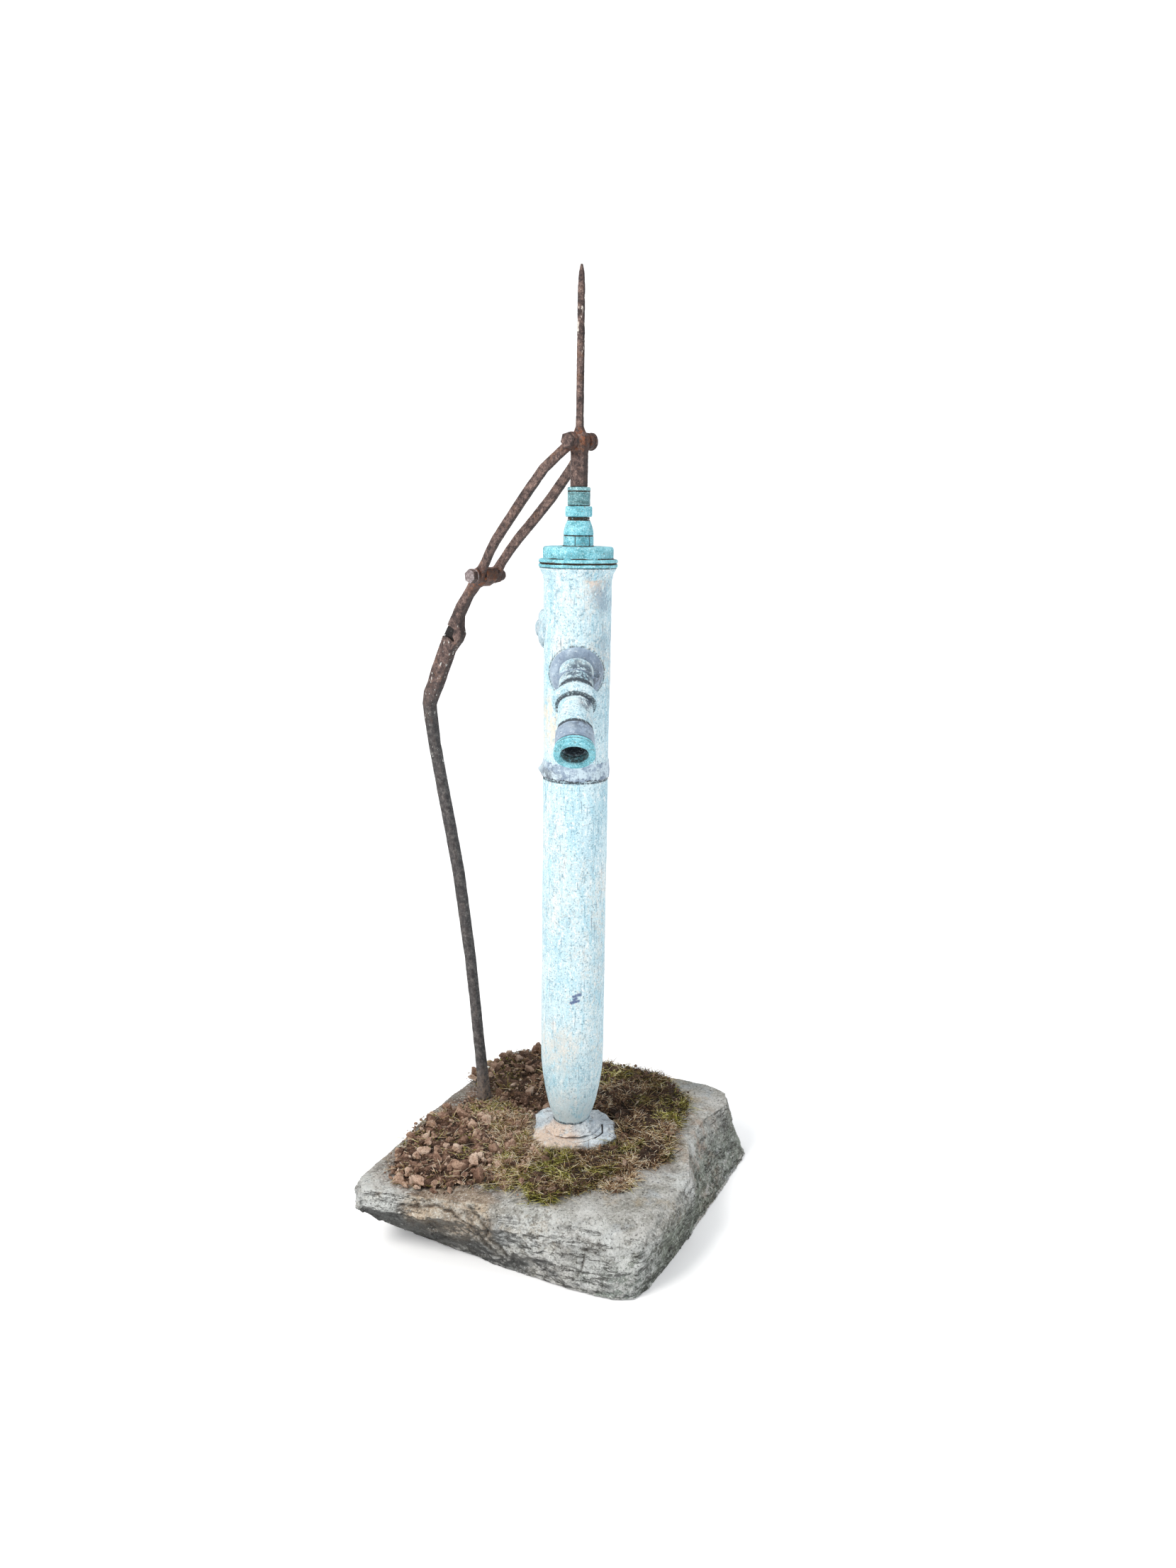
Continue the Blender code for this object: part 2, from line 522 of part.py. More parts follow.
def build_foot_valve(clack_axis):
    """The non-return valve in the barrel's foot: a tapered seat and a weighted leather clack."""
    low = SEAT_HEIGHT
    top = low + 23 * MM
    turned("foot_valve_seat", [(43.6 * MM, low), (44.5 * MM, top), (20 * MM, top), (20 * MM, low)], BRASS)
    turned("foot_clack_leather", [(0, top + GAP), (28 * MM, top + GAP), (28 * MM, top + 4 * MM),
                                  (0, top + 4 * MM)], LEATHER, parent=clack_axis)
    weight = top + 4.3 * MM
    turned("foot_clack_weight", [(0, weight), (22 * MM, weight), (21 * MM, weight + 10 * MM),
                                 (12 * MM, weight + 13 * MM), (0, weight + 13 * MM)], LEAD, parent=clack_axis)
    clamp = [(-42, -11), (-34.5, -11), (-34.5, 11), (-42, 11)]
    lofted("foot_clack_clamp", [level_loop(clamp, top + GAP), level_loop(clamp, top + 6 * MM)], BRASS)


# ---------------------------------------------------------------- fork and handle

def pin_placement(pin):
    return along(in_plane(pin), NEARWARD)


def pin_cutter(name, pin):
    profile = [(0, -60 * MM), (PIN_HOLE, -60 * MM), (PIN_HOLE, 60 * MM), (0, 60 * MM)]
    return cutter(name, turned_mesh(profile, FINE, pin_placement(pin)))


def build_straps(link_axis, cutters):
    path = [station[0] for station in STRAP]
    for name, side in (("link_strap_near", 1), ("link_strap_far", -1)):
        loops = [bar_section(place, across_path(path, index), half_width, STRAP_HALF_THICK, side * off)
                 for index, (place, off, half_width) in enumerate(STRAP)]
        strap = lofted(name, loops, IRON, parent=link_axis)
        for tool in cutters:
            cut(strap, tool)


def stacked(name, pin, inner, near, far, radius, link_axis, sides=FINE):
    """A ring on a pin, between two distances from the fork's plane."""
    low, high = sorted((near * MM, far * MM))
    bevel = 1.2 * MM
    turned(name, [(inner, low), (radius * MM - bevel, low), (radius * MM, low + bevel),
                  (radius * MM, high - bevel), (radius * MM - bevel, high), (inner, high)], IRON, sides,
           pin_placement(pin), link_axis)


def build_pins(link_axis):
    outside = STRAP_HALF_GAP + STRAP_HALF_THICK + 0.3
    for level, pin, collar, head_radius, end_radius, length in (("upper", UPPER_PIN, 2.0, 11.5, 14, 33.5),
                                                                 ("lower", LOWER_PIN, 6.5, 11.4, 9.5, 42)):
        head = outside + collar + 0.3
        shank = PIN_RADIUS
        rounding = 2.0
        turned(level + "_pin", [(0, -length * MM), (shank, -length * MM), (shank, head * MM),
                                (head_radius * MM, head * MM), (head_radius * MM, (length - rounding) * MM),
                                ((head_radius - rounding) * MM, length * MM), (0, length * MM)], IRON, FINE,
               pin_placement(pin), link_axis)
        for name, side in (("near", 1), ("far", -1)):
            stacked("%s_collar_%s" % (level, name), pin, PIN_HOLE, side * outside, side * (outside + collar),
                    12.0, link_axis)
        stacked(level + "_pin_end", pin, PIN_HOLE, -head, -(length - 0.6), end_radius, link_axis)


def build_handle(handle_axis, lower_pin_cutter):
    loops = []
    for outer, inner, thick in HANDLE_UPPER:
        centre = ((outer[0] + inner[0]) / 2, (outer[1] + inner[1]) / 2)
        width = hypot(outer[0] - inner[0], outer[1] - inner[1])
        across = ((outer[0] - inner[0]) / width, (outer[1] - inner[1]) / width)
        loops.append(bar_section(centre, across, width / 2, thick / 2))
    path = [HANDLE_UPPER[-1][0]] + [station[0] for station in HANDLE_LOWER]
    for index, (centre, width, thick) in enumerate(HANDLE_LOWER, start=1):
        across = across_path(path, index) if index < len(path) - 4 else (1, 0)
        if across[0] < 0:
            across = (-across[0], -across[1])
        loops.append(bar_section(centre, across, width / 2, thick / 2, chamfer=0.35))
    handle = lofted("handle", loops, IRON, parent=handle_axis)
    cut(handle, lower_pin_cutter)
    face = 17 / 2
    pocket = lofted_mesh([[in_plane(corner, off) for corner in NOTCH]
                          for off in (face - NOTCH_DEPTH, face + 6)])
    cut(handle, cutter("handle_notch", pocket))


def build_all():
    rod_axis = add_joint_empty("rod_axis", Vector((0, 0, GLAND_TOP)))
    valve_axis = add_joint_empty("valve_axis", Vector((0, 0, BUCKET_HEIGHT)), rod_axis)
    link_axis = add_joint_empty("link_axis", in_plane(UPPER_PIN), rod_axis)
    handle_axis = add_joint_empty("handle_axis", in_plane(LOWER_PIN), link_axis)
    clack_axis = add_joint_empty("clack_axis", Vector((-31.5 * MM, 0, SEAT_HEIGHT + 23.5 * MM)))
    barrel_shape = turned_mesh([(0, 850 * MM), (55.3 * MM, 850 * MM), (55.3 * MM, 1090 * MM),
                                (0, 1090 * MM)])
    barrel_cutter = cutter("barrel_shape", barrel_shape)
    upper_pin_cutter = pin_cutter("upper_pin_way", UPPER_PIN)
    lower_pin_cutter = pin_cutter("lower_pin_way", LOWER_PIN)
    build_stone()
    build_ground_cover()
    build_foot()
    build_lower_barrel()
    build_barrel_band()
    build_upper_barrel()
    build_spout(barrel_cutter)
    build_delivery(barrel_cutter)
    build_head()
    build_gland()
    build_rod(rod_axis, upper_pin_cutter)
    build_bucket(rod_axis, valve_axis)
    build_foot_valve(clack_axis)
    build_straps(link_axis, (upper_pin_cutter, lower_pin_cutter))
    build_pins(link_axis)
    build_handle(handle_axis, lower_pin_cutter)


build_all()
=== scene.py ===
"""Looks of the lead hand well pump: patinated lead, verdigris brass, forged iron, stone, soil and moss."""
import json
import math
from math import cos, pi, radians, sin

import bmesh
import bpy
import numpy as np
from mathutils import Matrix, Vector, noise


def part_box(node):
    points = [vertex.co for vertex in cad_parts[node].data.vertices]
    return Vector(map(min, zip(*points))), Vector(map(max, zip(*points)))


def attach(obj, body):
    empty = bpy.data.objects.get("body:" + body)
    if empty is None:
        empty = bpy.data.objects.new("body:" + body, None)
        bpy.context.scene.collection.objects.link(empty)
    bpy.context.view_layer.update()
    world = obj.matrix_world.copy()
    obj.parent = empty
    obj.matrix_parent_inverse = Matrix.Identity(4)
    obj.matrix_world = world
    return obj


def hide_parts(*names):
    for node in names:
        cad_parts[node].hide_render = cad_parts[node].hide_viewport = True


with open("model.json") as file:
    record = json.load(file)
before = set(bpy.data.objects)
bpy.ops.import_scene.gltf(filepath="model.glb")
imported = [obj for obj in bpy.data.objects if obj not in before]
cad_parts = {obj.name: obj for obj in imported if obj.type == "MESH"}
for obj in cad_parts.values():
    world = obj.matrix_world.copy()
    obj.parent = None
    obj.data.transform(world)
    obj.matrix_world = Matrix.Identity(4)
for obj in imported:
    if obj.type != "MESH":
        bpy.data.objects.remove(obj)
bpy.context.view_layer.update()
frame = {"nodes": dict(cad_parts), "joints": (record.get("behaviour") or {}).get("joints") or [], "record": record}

MM = 0.001
NODES = frame["nodes"]
RECORD = frame["record"]
JOINTS = {joint["name"]: joint for joint in frame["joints"]}
MOUNTS = {mount["name"]: mount for mount in RECORD["mounts"]}
BODY_OF = {node: body for body, nodes in RECORD["behaviour"]["bodies"].items() for node in nodes}
SLOT_OF = {part["node"]: part["material_slot"] for part in RECORD["subparts"]}
RNG = np.random.default_rng(7)
noise.seed_set(7)                   # without it, noise_vector is seeded from the clock

UP = Vector((0, 0, 1))
UPPER_PIN = Vector(JOINTS["fork_swing"]["pos_m"])
LOWER_PIN = Vector(JOINTS["handle_swing"]["pos_m"])
NEARWARD = -Vector(JOINTS["fork_swing"]["axis"]).normalized()
OUTWARDS = NEARWARD.cross(UP)         # level, in the fork's plane, from the barrel to the handle
STONE_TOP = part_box("stone_base")[1].z
BARREL_RADIUS = 55.2                  # at the side outlets, mm
PIPE_RADIUS, PIPE_BORE = 27.5, 20.5   # of the spout, mm

# Cracks in the stone's front: a path in millimetres, its half width and its depth.
CRACKS = [
    ([(-274, -225, 101), (-258, -227, 105), (-236, -231, 105), (-218, -232, 109), (-203, -235, 109),
      (-189, -242, 104), (-174, -250, 94), (-163, -251, 82), (-142, -248, 58), (-122, -244, 33),
      (-106, -240, 12)], 2.6, 4.0),
    ([(-157, -240, 114), (-147, -250, 105), (-138, -258, 94), (-132, -259, 77), (-130, -252, 58),
      (-114, -253, 43), (-98, -251, 27)], 3.4, 4.5),
    ([(-166, -243, 67), (-152, -248, 65), (-138, -246, 49), (-120, -242, 26)], 2.0, 2.5),
    ([(27, -309, 78), (26, -308, 60), (21, -306, 45), (13, -302, 32)], 2.0, 3.0),
]

# Over each ground cover: its material, the mound's tone, how many clods, their tone, how far they stray in
# millimetres, how many strands, their tone, how much that varies, and how green they are.
COVERS = {
    "soil_left": ("dry", 0.20, 620, 0.60, 9, 800, 0.80, 0.22, 0.15),
    "soil_back": ("damp", 0.18, 420, 0.62, 7, 1500, 0.46, 0.26, 0.10),
    "moss_centre": ("dry", 0.34, 190, 0.62, 12, 3400, 0.78, 0.24, 0.12),
    "moss_front": ("damp", 0.10, 90, 0.50, 7, 4300, 0.60, 0.26, 0.72),
    "moss_right": ("damp", 0.08, 150, 0.46, 8, 7600, 0.50, 0.30, 0.30),
    "moss_tuft": ("damp", 0.20, 12, 0.50, 5, 560, 0.66, 0.24, 0.55),
}


# ---------------------------------------------------------------- camera, light and floor

def make_camera():
    camera = bpy.data.cameras.new("camera")
    camera.sensor_width = 36
    camera.lens = 36 * 1800 / 2212
    holder = bpy.data.objects.new("camera", camera)
    bpy.context.scene.collection.objects.link(holder)
    pitch, roll = radians(12.0), radians(0.82)
    ahead = Vector((0, cos(pitch), -sin(pitch)))
    above = Vector((0, sin(pitch), cos(pitch)))
    beside = Vector((1, 0, 0))
    right = beside * cos(roll) + above * sin(roll)
    up = above * cos(roll) - beside * sin(roll)
    turn = Matrix((right, up, -ahead)).transposed()
    holder.matrix_world = Matrix.Translation((0.021, -2.088, 1.196)) @ turn.to_4x4()
    bpy.context.scene.camera = holder


def area_light(name, place, target, size, power, colour=(1, 1, 1)):
    light = bpy.data.lights.new(name, 'AREA')
    light.size = size
    light.energy = power
    light.color = colour
    holder = bpy.data.objects.new(name, light)
    bpy.context.scene.collection.objects.link(holder)
    holder.location = place
    holder.rotation_euler = (Vector(target) - Vector(place)).to_track_quat('-Z', 'Y').to_euler()


def make_studio():
    """A white paper sweep, an even white world, and a key light from the left above the camera."""
    scene = bpy.context.scene
    scene.view_settings.view_transform = 'Standard'
    world = bpy.data.worlds.new("studio")
    world.use_nodes = True
    world.node_tree.nodes["Background"].inputs["Color"].default_value = (0.95, 0.97, 1.0, 1)
    world.node_tree.nodes["Background"].inputs["Strength"].default_value = 0.70
    scene.world = world
    area_light("key", (-2.1, -2.1, 3.3), (0, 0, 0.5), 1.3, 112, (1.0, 0.975, 0.94))
    area_light("fill", (2.6, -1.6, 1.6), (0, 0, 0.7), 2.4, 16, (0.93, 0.97, 1.0))
    rows = [(-3.0, 0.0), (2.2, 0.0), (2.9, 0.12), (3.35, 0.5), (3.5, 1.1), (3.5, 6.0)]
    bm = bmesh.new()
    left = [bm.verts.new((-6, depth, height)) for depth, height in rows]
    right = [bm.verts.new((6, depth, height)) for depth, height in rows]
    for index in range(len(rows) - 1):
        bm.faces.new((left[index], right[index], right[index + 1], left[index + 1]))
    mesh = bpy.data.meshes.new("floor")
    bm.to_mesh(mesh)
    mesh.shade_smooth()
    floor = bpy.data.objects.new("floor", mesh)
    scene.collection.objects.link(floor)
    paint = Paint("floor_paper", 0.9)
    grain = paint.noise(3, 3)
    paint.colour(paint.mix(paint.band(grain, 0.3, 0.7), (0.93, 0.93, 0.93), (0.955, 0.955, 0.955)))
    paint.shader.inputs["Emission Color"].default_value = (1, 1, 1, 1)
    paint.shader.inputs["Emission Strength"].default_value = 0.2
    mesh.materials.append(paint.material)


# ---------------------------------------------------------------- materials

def rgb(red, green, blue):
    """A colour as a screen shows it, 0 to 255, turned to linear light."""
    return tuple((part / 255 / 12.92) if part <= 10 else ((part / 255 + 0.055) / 1.055) ** 2.4
                 for part in (red, green, blue))


class Paint:
    """A Principled material built up from procedural layers in the object's own coordinates."""

    def __init__(self, name, roughness=0.7, metallic=0.0, specular=0.5):
        self.material = bpy.data.materials.new(name)
        self.material.use_nodes = True
        self.tree = self.material.node_tree
        self.shader = self.tree.nodes["Principled BSDF"]
        self.shader.inputs["Roughness"].default_value = roughness
        self.shader.inputs["Metallic"].default_value = metallic
        self.shader.inputs["Specular IOR Level"].default_value = specular
        coordinates = self.tree.nodes.new("ShaderNodeTexCoord")
        self.place = coordinates.outputs["Object"]
        self.normal = coordinates.outputs["Normal"]
        self.now = None               # the colour so far

    def put(self, socket, value):
        """Link a socket's value, or set it where it is the same everywhere."""
        if isinstance(value, bpy.types.NodeSocket):
            self.tree.links.new(value, socket)
        elif isinstance(value, tuple) and len(value) == 3 and len(socket.default_value) == 4:
            socket.default_value = (*value, 1)
        else:
            socket.default_value = value

    def node(self, kind, **inputs):
        node = self.tree.nodes.new("ShaderNode" + kind)
        for name, value in inputs.items():
            self.put(node.inputs[name.replace("_", " ")], value)
        return node

    def vector_math(self, operation, *values):
        node = self.node("VectorMath")
        node.operation = operation
        for socket, value in zip(node.inputs, values):
            self.put(socket, value)
        return node

    def stretched(self, scale, shift=(0, 0, 0), turn=(0, 0, 0)):
        return self.node("Mapping", Vector=self.place, Scale=scale, Location=shift,
                         Rotation=turn).outputs["Vector"]

    def noise(self, scale, detail=4.0, roughness=0.6, place=None):
        return self.node("TexNoise", Vector=place or self.place, Scale=scale, Detail=detail,
                         Roughness=roughness).outputs["Fac"]

    def cells(self, scale, place=None):
        """Distance from the middle of the nearest cell, in cells."""
        return self.node("TexVoronoi", Vector=place or self.place, Scale=scale).outputs["Distance"]

    def warped(self, scale, amount):
        """The coordinates, pushed about by noise, for outlines that aren't straight."""
        push = self.node("TexNoise", Vector=self.place, Scale=scale).outputs["Color"]
        pushed = self.vector_math('MULTIPLY_ADD', push, (amount, amount, amount), self.place)
        centred = self.vector_math('SUBTRACT', pushed.outputs["Vector"],
                                   (amount / 2, amount / 2, amount / 2))
        return centred.outputs["Vector"]

    def band(self, value, low, high, start=0.0, end=1.0):
        """A smooth step: start at the low value, end at the high one, which may be the lesser."""
        node = self.node("MapRange", Value=value)
        node.interpolation_type = 'SMOOTHSTEP'
        for name, limit in (("From Min", low), ("From Max", high), ("To Min", start), ("To Max", end)):
            node.inputs[name].default_value = limit
        return node.outputs["Result"]

    def calc(self, operation, first, second=0.0):
        node = self.node("Math")
        node.operation = operation
        self.put(node.inputs[0], first)
        self.put(node.inputs[1], second)
        return node.outputs["Value"]

    def both(self, *masks):
        result = masks[0]
        for mask in masks[1:]:
            result = self.calc('MULTIPLY', result, mask)
        return result

    def mix(self, factor, first, second):
        node = self.node("Mix")
        node.data_type = 'RGBA'
        self.put(node.inputs[0], factor)
        self.put(node.inputs[6], first)
        self.put(node.inputs[7], second)
        return node.outputs[2]

    def over(self, tone, *masks):
        """Lay a tone over the colour so far, wherever all of the masks let it."""
        self.now = self.mix(self.both(*masks), self.now, tone)

    def ramp(self, value, *stops):
        """Colours along a value. Each stop is (value, red, green, blue), the colour as rgb() takes it."""
        node = self.node("ValToRGB", Fac=value)
        elements = node.color_ramp.elements
        while len(elements) < len(stops):
            elements.new(0.5)
        for element, (position, *screen) in zip(elements, stops):
            element.position = position
            element.color = (*rgb(*screen), 1)
        return node.outputs["Color"]

    def axes(self, source):
        return self.node("SeparateXYZ", Vector=source).outputs

    def axis(self, name):
        return self.axes(self.place)[name]

    def near(self, centre, inner, outer, place=None):
        """1 within the inner distance of a point, 0 beyond the outer one."""
        gap = self.vector_math('DISTANCE', place or self.place, tuple(centre))
        return self.band(gap.outputs["Value"], inner, outer, 1.0, 0.0)

    def attribute(self, name):
        node = self.node("Attribute")
        node.attribute_name = name
        return node.outputs["Fac"]

    def crevice_shade(self, dirt_and_shade):
        """Painted shade where the mesh's shade attribute says that there is a crack or a crevice."""
        edge = self.band(self.noise(300, 3, 0.7), 0.3, 0.55)
        shade = self.attribute("shade")
        self.over(dirt_and_shade, self.band(self.calc('MULTIPLY', shade, self.calc('ADD', edge, 0.5)), 0.15, 0.75))

    def colour(self, value):
        self.put(self.shader.inputs["Base Color"], value)

    def rough(self, value):
        self.put(self.shader.inputs["Roughness"], value)

    def bump(self, *layers):
        """Bumps of (height, distance in metres), one on top of the other."""
        normal = None
        for height, distance in layers:
            node = self.node("Bump", Strength=1.0, Distance=distance, Height=height)
            if normal is not None:
                self.put(node.inputs["Normal"], normal)
            normal = node.outputs["Normal"]
        self.put(self.shader.inputs["Normal"], normal)


def patina(name, grey=0.0, marks=(), cream=0.5):
    """Chalky lead: pale blue-white with aqua and cream clouds, specks and scratches down its length.

    A mark is (centre, inner and outer distance in metres, tone, strength). Small ones have a crisper edge.
    """
    paint = Paint(name, 0.74, 0.0, 0.25)
    cloud = paint.noise(24, 8, 0.74, paint.stretched((1, 1, 0.4)))
    paint.now = paint.ramp(cloud, (0.34, 166, 206, 220), (0.45, 190, 220, 230),
                           (0.55, 206, 230, 237), (0.65, 220, 233, 236), (0.76, 228, 224, 218))
    blotch = paint.noise(150, 4, 0.72, paint.stretched((1, 1, 0.6), (2, 2, 9)))
    paint.over(rgb(134, 172, 188), paint.band(blotch, 0.45, 0.35, 0.0, 0.7))
    paint.over(rgb(243, 248, 247), paint.band(blotch, 0.55, 0.66, 0.0, 0.85))
    paint.over(rgb(228, 214, 198),
               paint.band(paint.noise(10, 6, 0.75, paint.stretched((1, 1, 0.7), (3, 1, 2))), 0.50, 0.62),
               paint.band(paint.noise(150, 5, 0.75), 0.44, 0.56), cream)
    aqua = paint.noise(52, 5, 0.7, paint.stretched((1, 1, 0.18), (7, 2, 5)))
    paint.over(rgb(152, 212, 230), paint.band(aqua, 0.52, 0.64), 0.42)
    grain = paint.noise(340, 3, 0.7)
    paint.over(rgb(112, 140, 154), paint.band(grain, 0.45, 0.34, 0.0, 0.85))
    paint.over(rgb(250, 252, 250), paint.band(grain, 0.57, 0.66, 0.0, 0.85))
    scratch = paint.noise(1, 3, 0.7, paint.stretched((380, 380, 24)))
    paint.over(rgb(108, 134, 152), paint.band(scratch, 0.60, 0.67, 0.0, 0.75))
    cross = paint.noise(1, 3, 0.7, paint.stretched((46, 46, 420), (3, 3, 3), (0.3, 0.2, 0)))
    paint.over(rgb(128, 148, 162), paint.band(cross, 0.62, 0.69, 0.0, 0.6))
    if grey:
        cover = paint.band(paint.noise(30, 6, 0.75, paint.stretched((1, 1, 1), (5, 5, 1))), 0.36, 0.58)
        paint.over(paint.ramp(blotch, (0.38, 104, 112, 122), (0.6, 172, 180, 188)), cover, grey)
    for centre, inner, outer, tone, strength in marks:
        small = outer < 0.006
        start, full = (0.30, 0.42) if small else (0.44, 0.52)
        broken = paint.band(paint.noise(110, 6, 0.8, paint.stretched((1, 1, 0.45))), start, full)
        ragged = paint.warped(120, 0.004) if small else paint.warped(34, 0.035)
        paint.over(tone, paint.near(centre, inner, outer, ragged), broken, strength)
    paint.crevice_shade(rgb(70, 78, 86))
    paint.colour(paint.now)
    paint.rough(paint.band(grain, 0.3, 0.7, 0.64, 0.86))
    paint.bump((blotch, 0.0012), (grain, 0.0006), (scratch, 0.0005))
    return paint.material


def plate_lead(name, marks):
    """The foot's lead: dull grey with cream and peach crusts, and blue only in patches."""
    paint = Paint(name, 0.7, 0.0, 0.3)
    cloud = paint.noise(26, 8, 0.75)
    paint.now = paint.ramp(cloud, (0.33, 140, 146, 152), (0.44, 176, 184, 190),
                           (0.54, 206, 213, 217), (0.64, 226, 228, 226),
                           (0.75, 230, 218, 206))
    blue = paint.band(paint.noise(20, 5, 0.7, paint.stretched((1, 1, 1), (3, 7, 1))), 0.50, 0.62)
    paint.over(rgb(178, 206, 220), blue, 0.4)
    for centre, inner, outer, tone, strength in marks:
        broken = paint.band(paint.noise(60, 6, 0.8), 0.36, 0.50)
        mask = paint.both(paint.near(centre, inner, outer, paint.warped(34, 0.03)), broken, strength)
        paint.over(tone, mask)
    layer = paint.noise(1, 5, 0.7, paint.stretched((40, 40, 260), turn=(0.1, 0.05, 0)))
    paint.over(rgb(116, 112, 110), paint.band(layer, 0.55, 0.64, 0.0, 0.7))
    grain = paint.noise(300, 4, 0.75)
    paint.over(rgb(88, 92, 98), paint.band(grain, 0.45, 0.34, 0.0, 0.85))
    paint.over(rgb(240, 242, 238), paint.band(grain, 0.57, 0.66, 0.0, 0.8))
    paint.crevice_shade(rgb(38, 34, 34))
    paint.colour(paint.now)
    paint.rough(paint.band(grain, 0.3, 0.7, 0.6, 0.85))
    paint.bump((cloud, 0.003), (layer, 0.0008), (grain, 0.0006))
    return paint.material


def wiped(name, dark_side=(0.03, -0.07, 0.93), light=0.0):
    """Wiped solder: smooth grey-blue, darker and dirtier to one side, with a few pits."""
    paint = Paint(name, 0.55, 0.0, 0.4)
    cloud = paint.noise(34, 6, 0.7)
    paint.now = paint.ramp(cloud, (0.3, 108, 124, 144), (0.47, 138, 156, 176),
                           (0.6, 164, 182, 198), (0.74, 200, 214, 222))
    if light:
        paint.over(rgb(206, 224, 232), paint.band(paint.noise(70, 5, 0.7), 0.40, 0.55, 0.0, light))
    dirt_and_shade = paint.both(paint.near(dark_side, 0.01, 0.055), paint.band(paint.noise(75, 5, 0.7), 0.42, 0.54),
                      0.9)
    paint.over(rgb(72, 80, 90), dirt_and_shade)
    grain = paint.noise(280, 4, 0.7)
    paint.over(rgb(92, 104, 120), paint.band(grain, 0.44, 0.34, 0.0, 0.6))
    paint.over(rgb(226, 236, 238), paint.band(grain, 0.60, 0.68, 0.0, 0.5))
    scrape = paint.noise(1, 4, 0.7, paint.stretched((60, 200, 200), turn=(0, 0.7, 0)))
    paint.over(rgb(222, 234, 238), paint.band(scrape, 0.6, 0.68, 0.0, 0.6))
    pits = paint.both(paint.band(paint.cells(120), 0.18, 0.08), paint.band(paint.noise(26), 0.54, 0.62))
    paint.over(rgb(42, 46, 52), pits)
    paint.crevice_shade(rgb(52, 56, 62))
    paint.colour(paint.now)
    paint.rough(paint.band(cloud, 0.3, 0.7, 0.45, 0.65))
    paint.bump((cloud, 0.002), (grain, 0.0005), (paint.calc('SUBTRACT', 1, pits), 0.0004))
    return paint.material


def verdigris(name, deep=0.35, dull=0.0):
    """Matt turquoise corrosion on brass, darker where it is worn thin."""
    paint = Paint(name, 0.6, 0.0, 0.4)
    cloud = paint.noise(60, 6, 0.72)
    paint.now = paint.ramp(cloud, (0.32, 76, 148, 160), (0.44, 110, 184, 198),
                           (0.56, 138, 208, 221), (0.70, 180, 232, 241))
    if dull:
        paint.over(paint.ramp(cloud, (0.36, 72, 98, 98), (0.64, 140, 176, 174)), dull)
    speck = paint.noise(420, 3, 0.7)
    paint.over(rgb(204, 241, 247), paint.band(speck, 0.55, 0.64, 0.0, 0.85))
    paint.over(rgb(56, 112, 124), paint.band(speck, 0.44, 0.35, 0.0, 0.8))
    worn = paint.band(paint.noise(46, 6, 0.75, paint.stretched((1, 1, 3), (2, 6, 4))), 0.49, 0.60)
    paint.over(rgb(80, 112, 112), worn, deep)
    brown = paint.both(paint.band(paint.noise(70, 4, 0.7, paint.stretched((1, 1, 2), (9, 1, 1))), 0.60,
                                  0.68), 0.65)
    paint.over(rgb(106, 86, 66), brown)
    paint.crevice_shade(rgb(58, 44, 34))
    paint.colour(paint.now)
    paint.rough(paint.band(speck, 0.3, 0.7, 0.5, 0.75))
    paint.bump((speck, 0.0003), (cloud, 0.0012))
    return paint.material


def rusted(name, orange=(), pale=0.35):
    """Forged iron: brown-purple rust, pitted, with orange bloom round the joints."""
    paint = Paint(name, 0.62, 0.0, 0.4)
    cloud = paint.noise(90, 7, 0.78)
    paint.now = paint.ramp(cloud, (0.34, 34, 26, 26), (0.44, 68, 53, 50),
                           (0.54, 108, 87, 81), (0.64, 150, 124, 112), (0.74, 178, 154, 140))
    grain = paint.noise(420, 4, 0.78)
    paint.over(rgb(26, 20, 20), paint.band(grain, 0.47, 0.37, 0.0, 0.9))
    paint.over(rgb(190, 170, 158), paint.band(grain, 0.56, 0.65, 0.0, pale))
    tan = paint.band(paint.noise(40, 5, 0.75, paint.stretched((1, 1, 1), (3, 9, 1))), 0.55, 0.66, 0.0, 0.6)
    paint.over(paint.ramp(grain, (0.35, 92, 60, 44), (0.65, 160, 122, 96)), tan)
    for centre, inner, outer in orange:
        bloom = paint.both(paint.near(centre, inner, outer),
                           paint.band(paint.noise(150, 4, 0.7), 0.44, 0.58), 0.85)
        paint.over(paint.ramp(grain, (0.35, 104, 54, 30), (0.65, 188, 112, 60)), bloom)
    # Painted shade: faces turned towards +X and faces turned down are darkened.
    facing = paint.axes(paint.normal)
    shaded_faces = paint.calc('MAXIMUM', paint.band(facing["X"], 0.25, 0.75, 0.0, 0.62),
                       paint.band(facing["Z"], -0.2, -0.8, 0.0, 0.5))
    paint.over(rgb(30, 22, 21), shaded_faces)
    paint.crevice_shade(rgb(24, 17, 15))
    paint.colour(paint.now)
    paint.rough(paint.band(grain, 0.3, 0.7, 0.42, 0.8))
    paint.bump((cloud, 0.002), (grain, 0.0007))
    return paint


def iron_joint(name):
    """Rust with orange bloom round both pins. The lower pin's near head is worn to bare grey."""
    paint = rusted(name, ((UPPER_PIN, 0.012, 0.034), (LOWER_PIN, 0.012, 0.05)))
    facing = paint.vector_math('DOT_PRODUCT', paint.normal, tuple(NEARWARD))
    tone = paint.ramp(paint.noise(240, 5, 0.75), (0.34, 96, 84, 84), (0.50, 142, 130, 130),
                      (0.64, 190, 180, 180))
    paint.over(tone, paint.near(LOWER_PIN + NEARWARD * 0.040, 0.016, 0.022),
               paint.band(facing.outputs["Value"], 0.45, 0.80), 0.9)
    paint.colour(paint.now)
    return paint.material


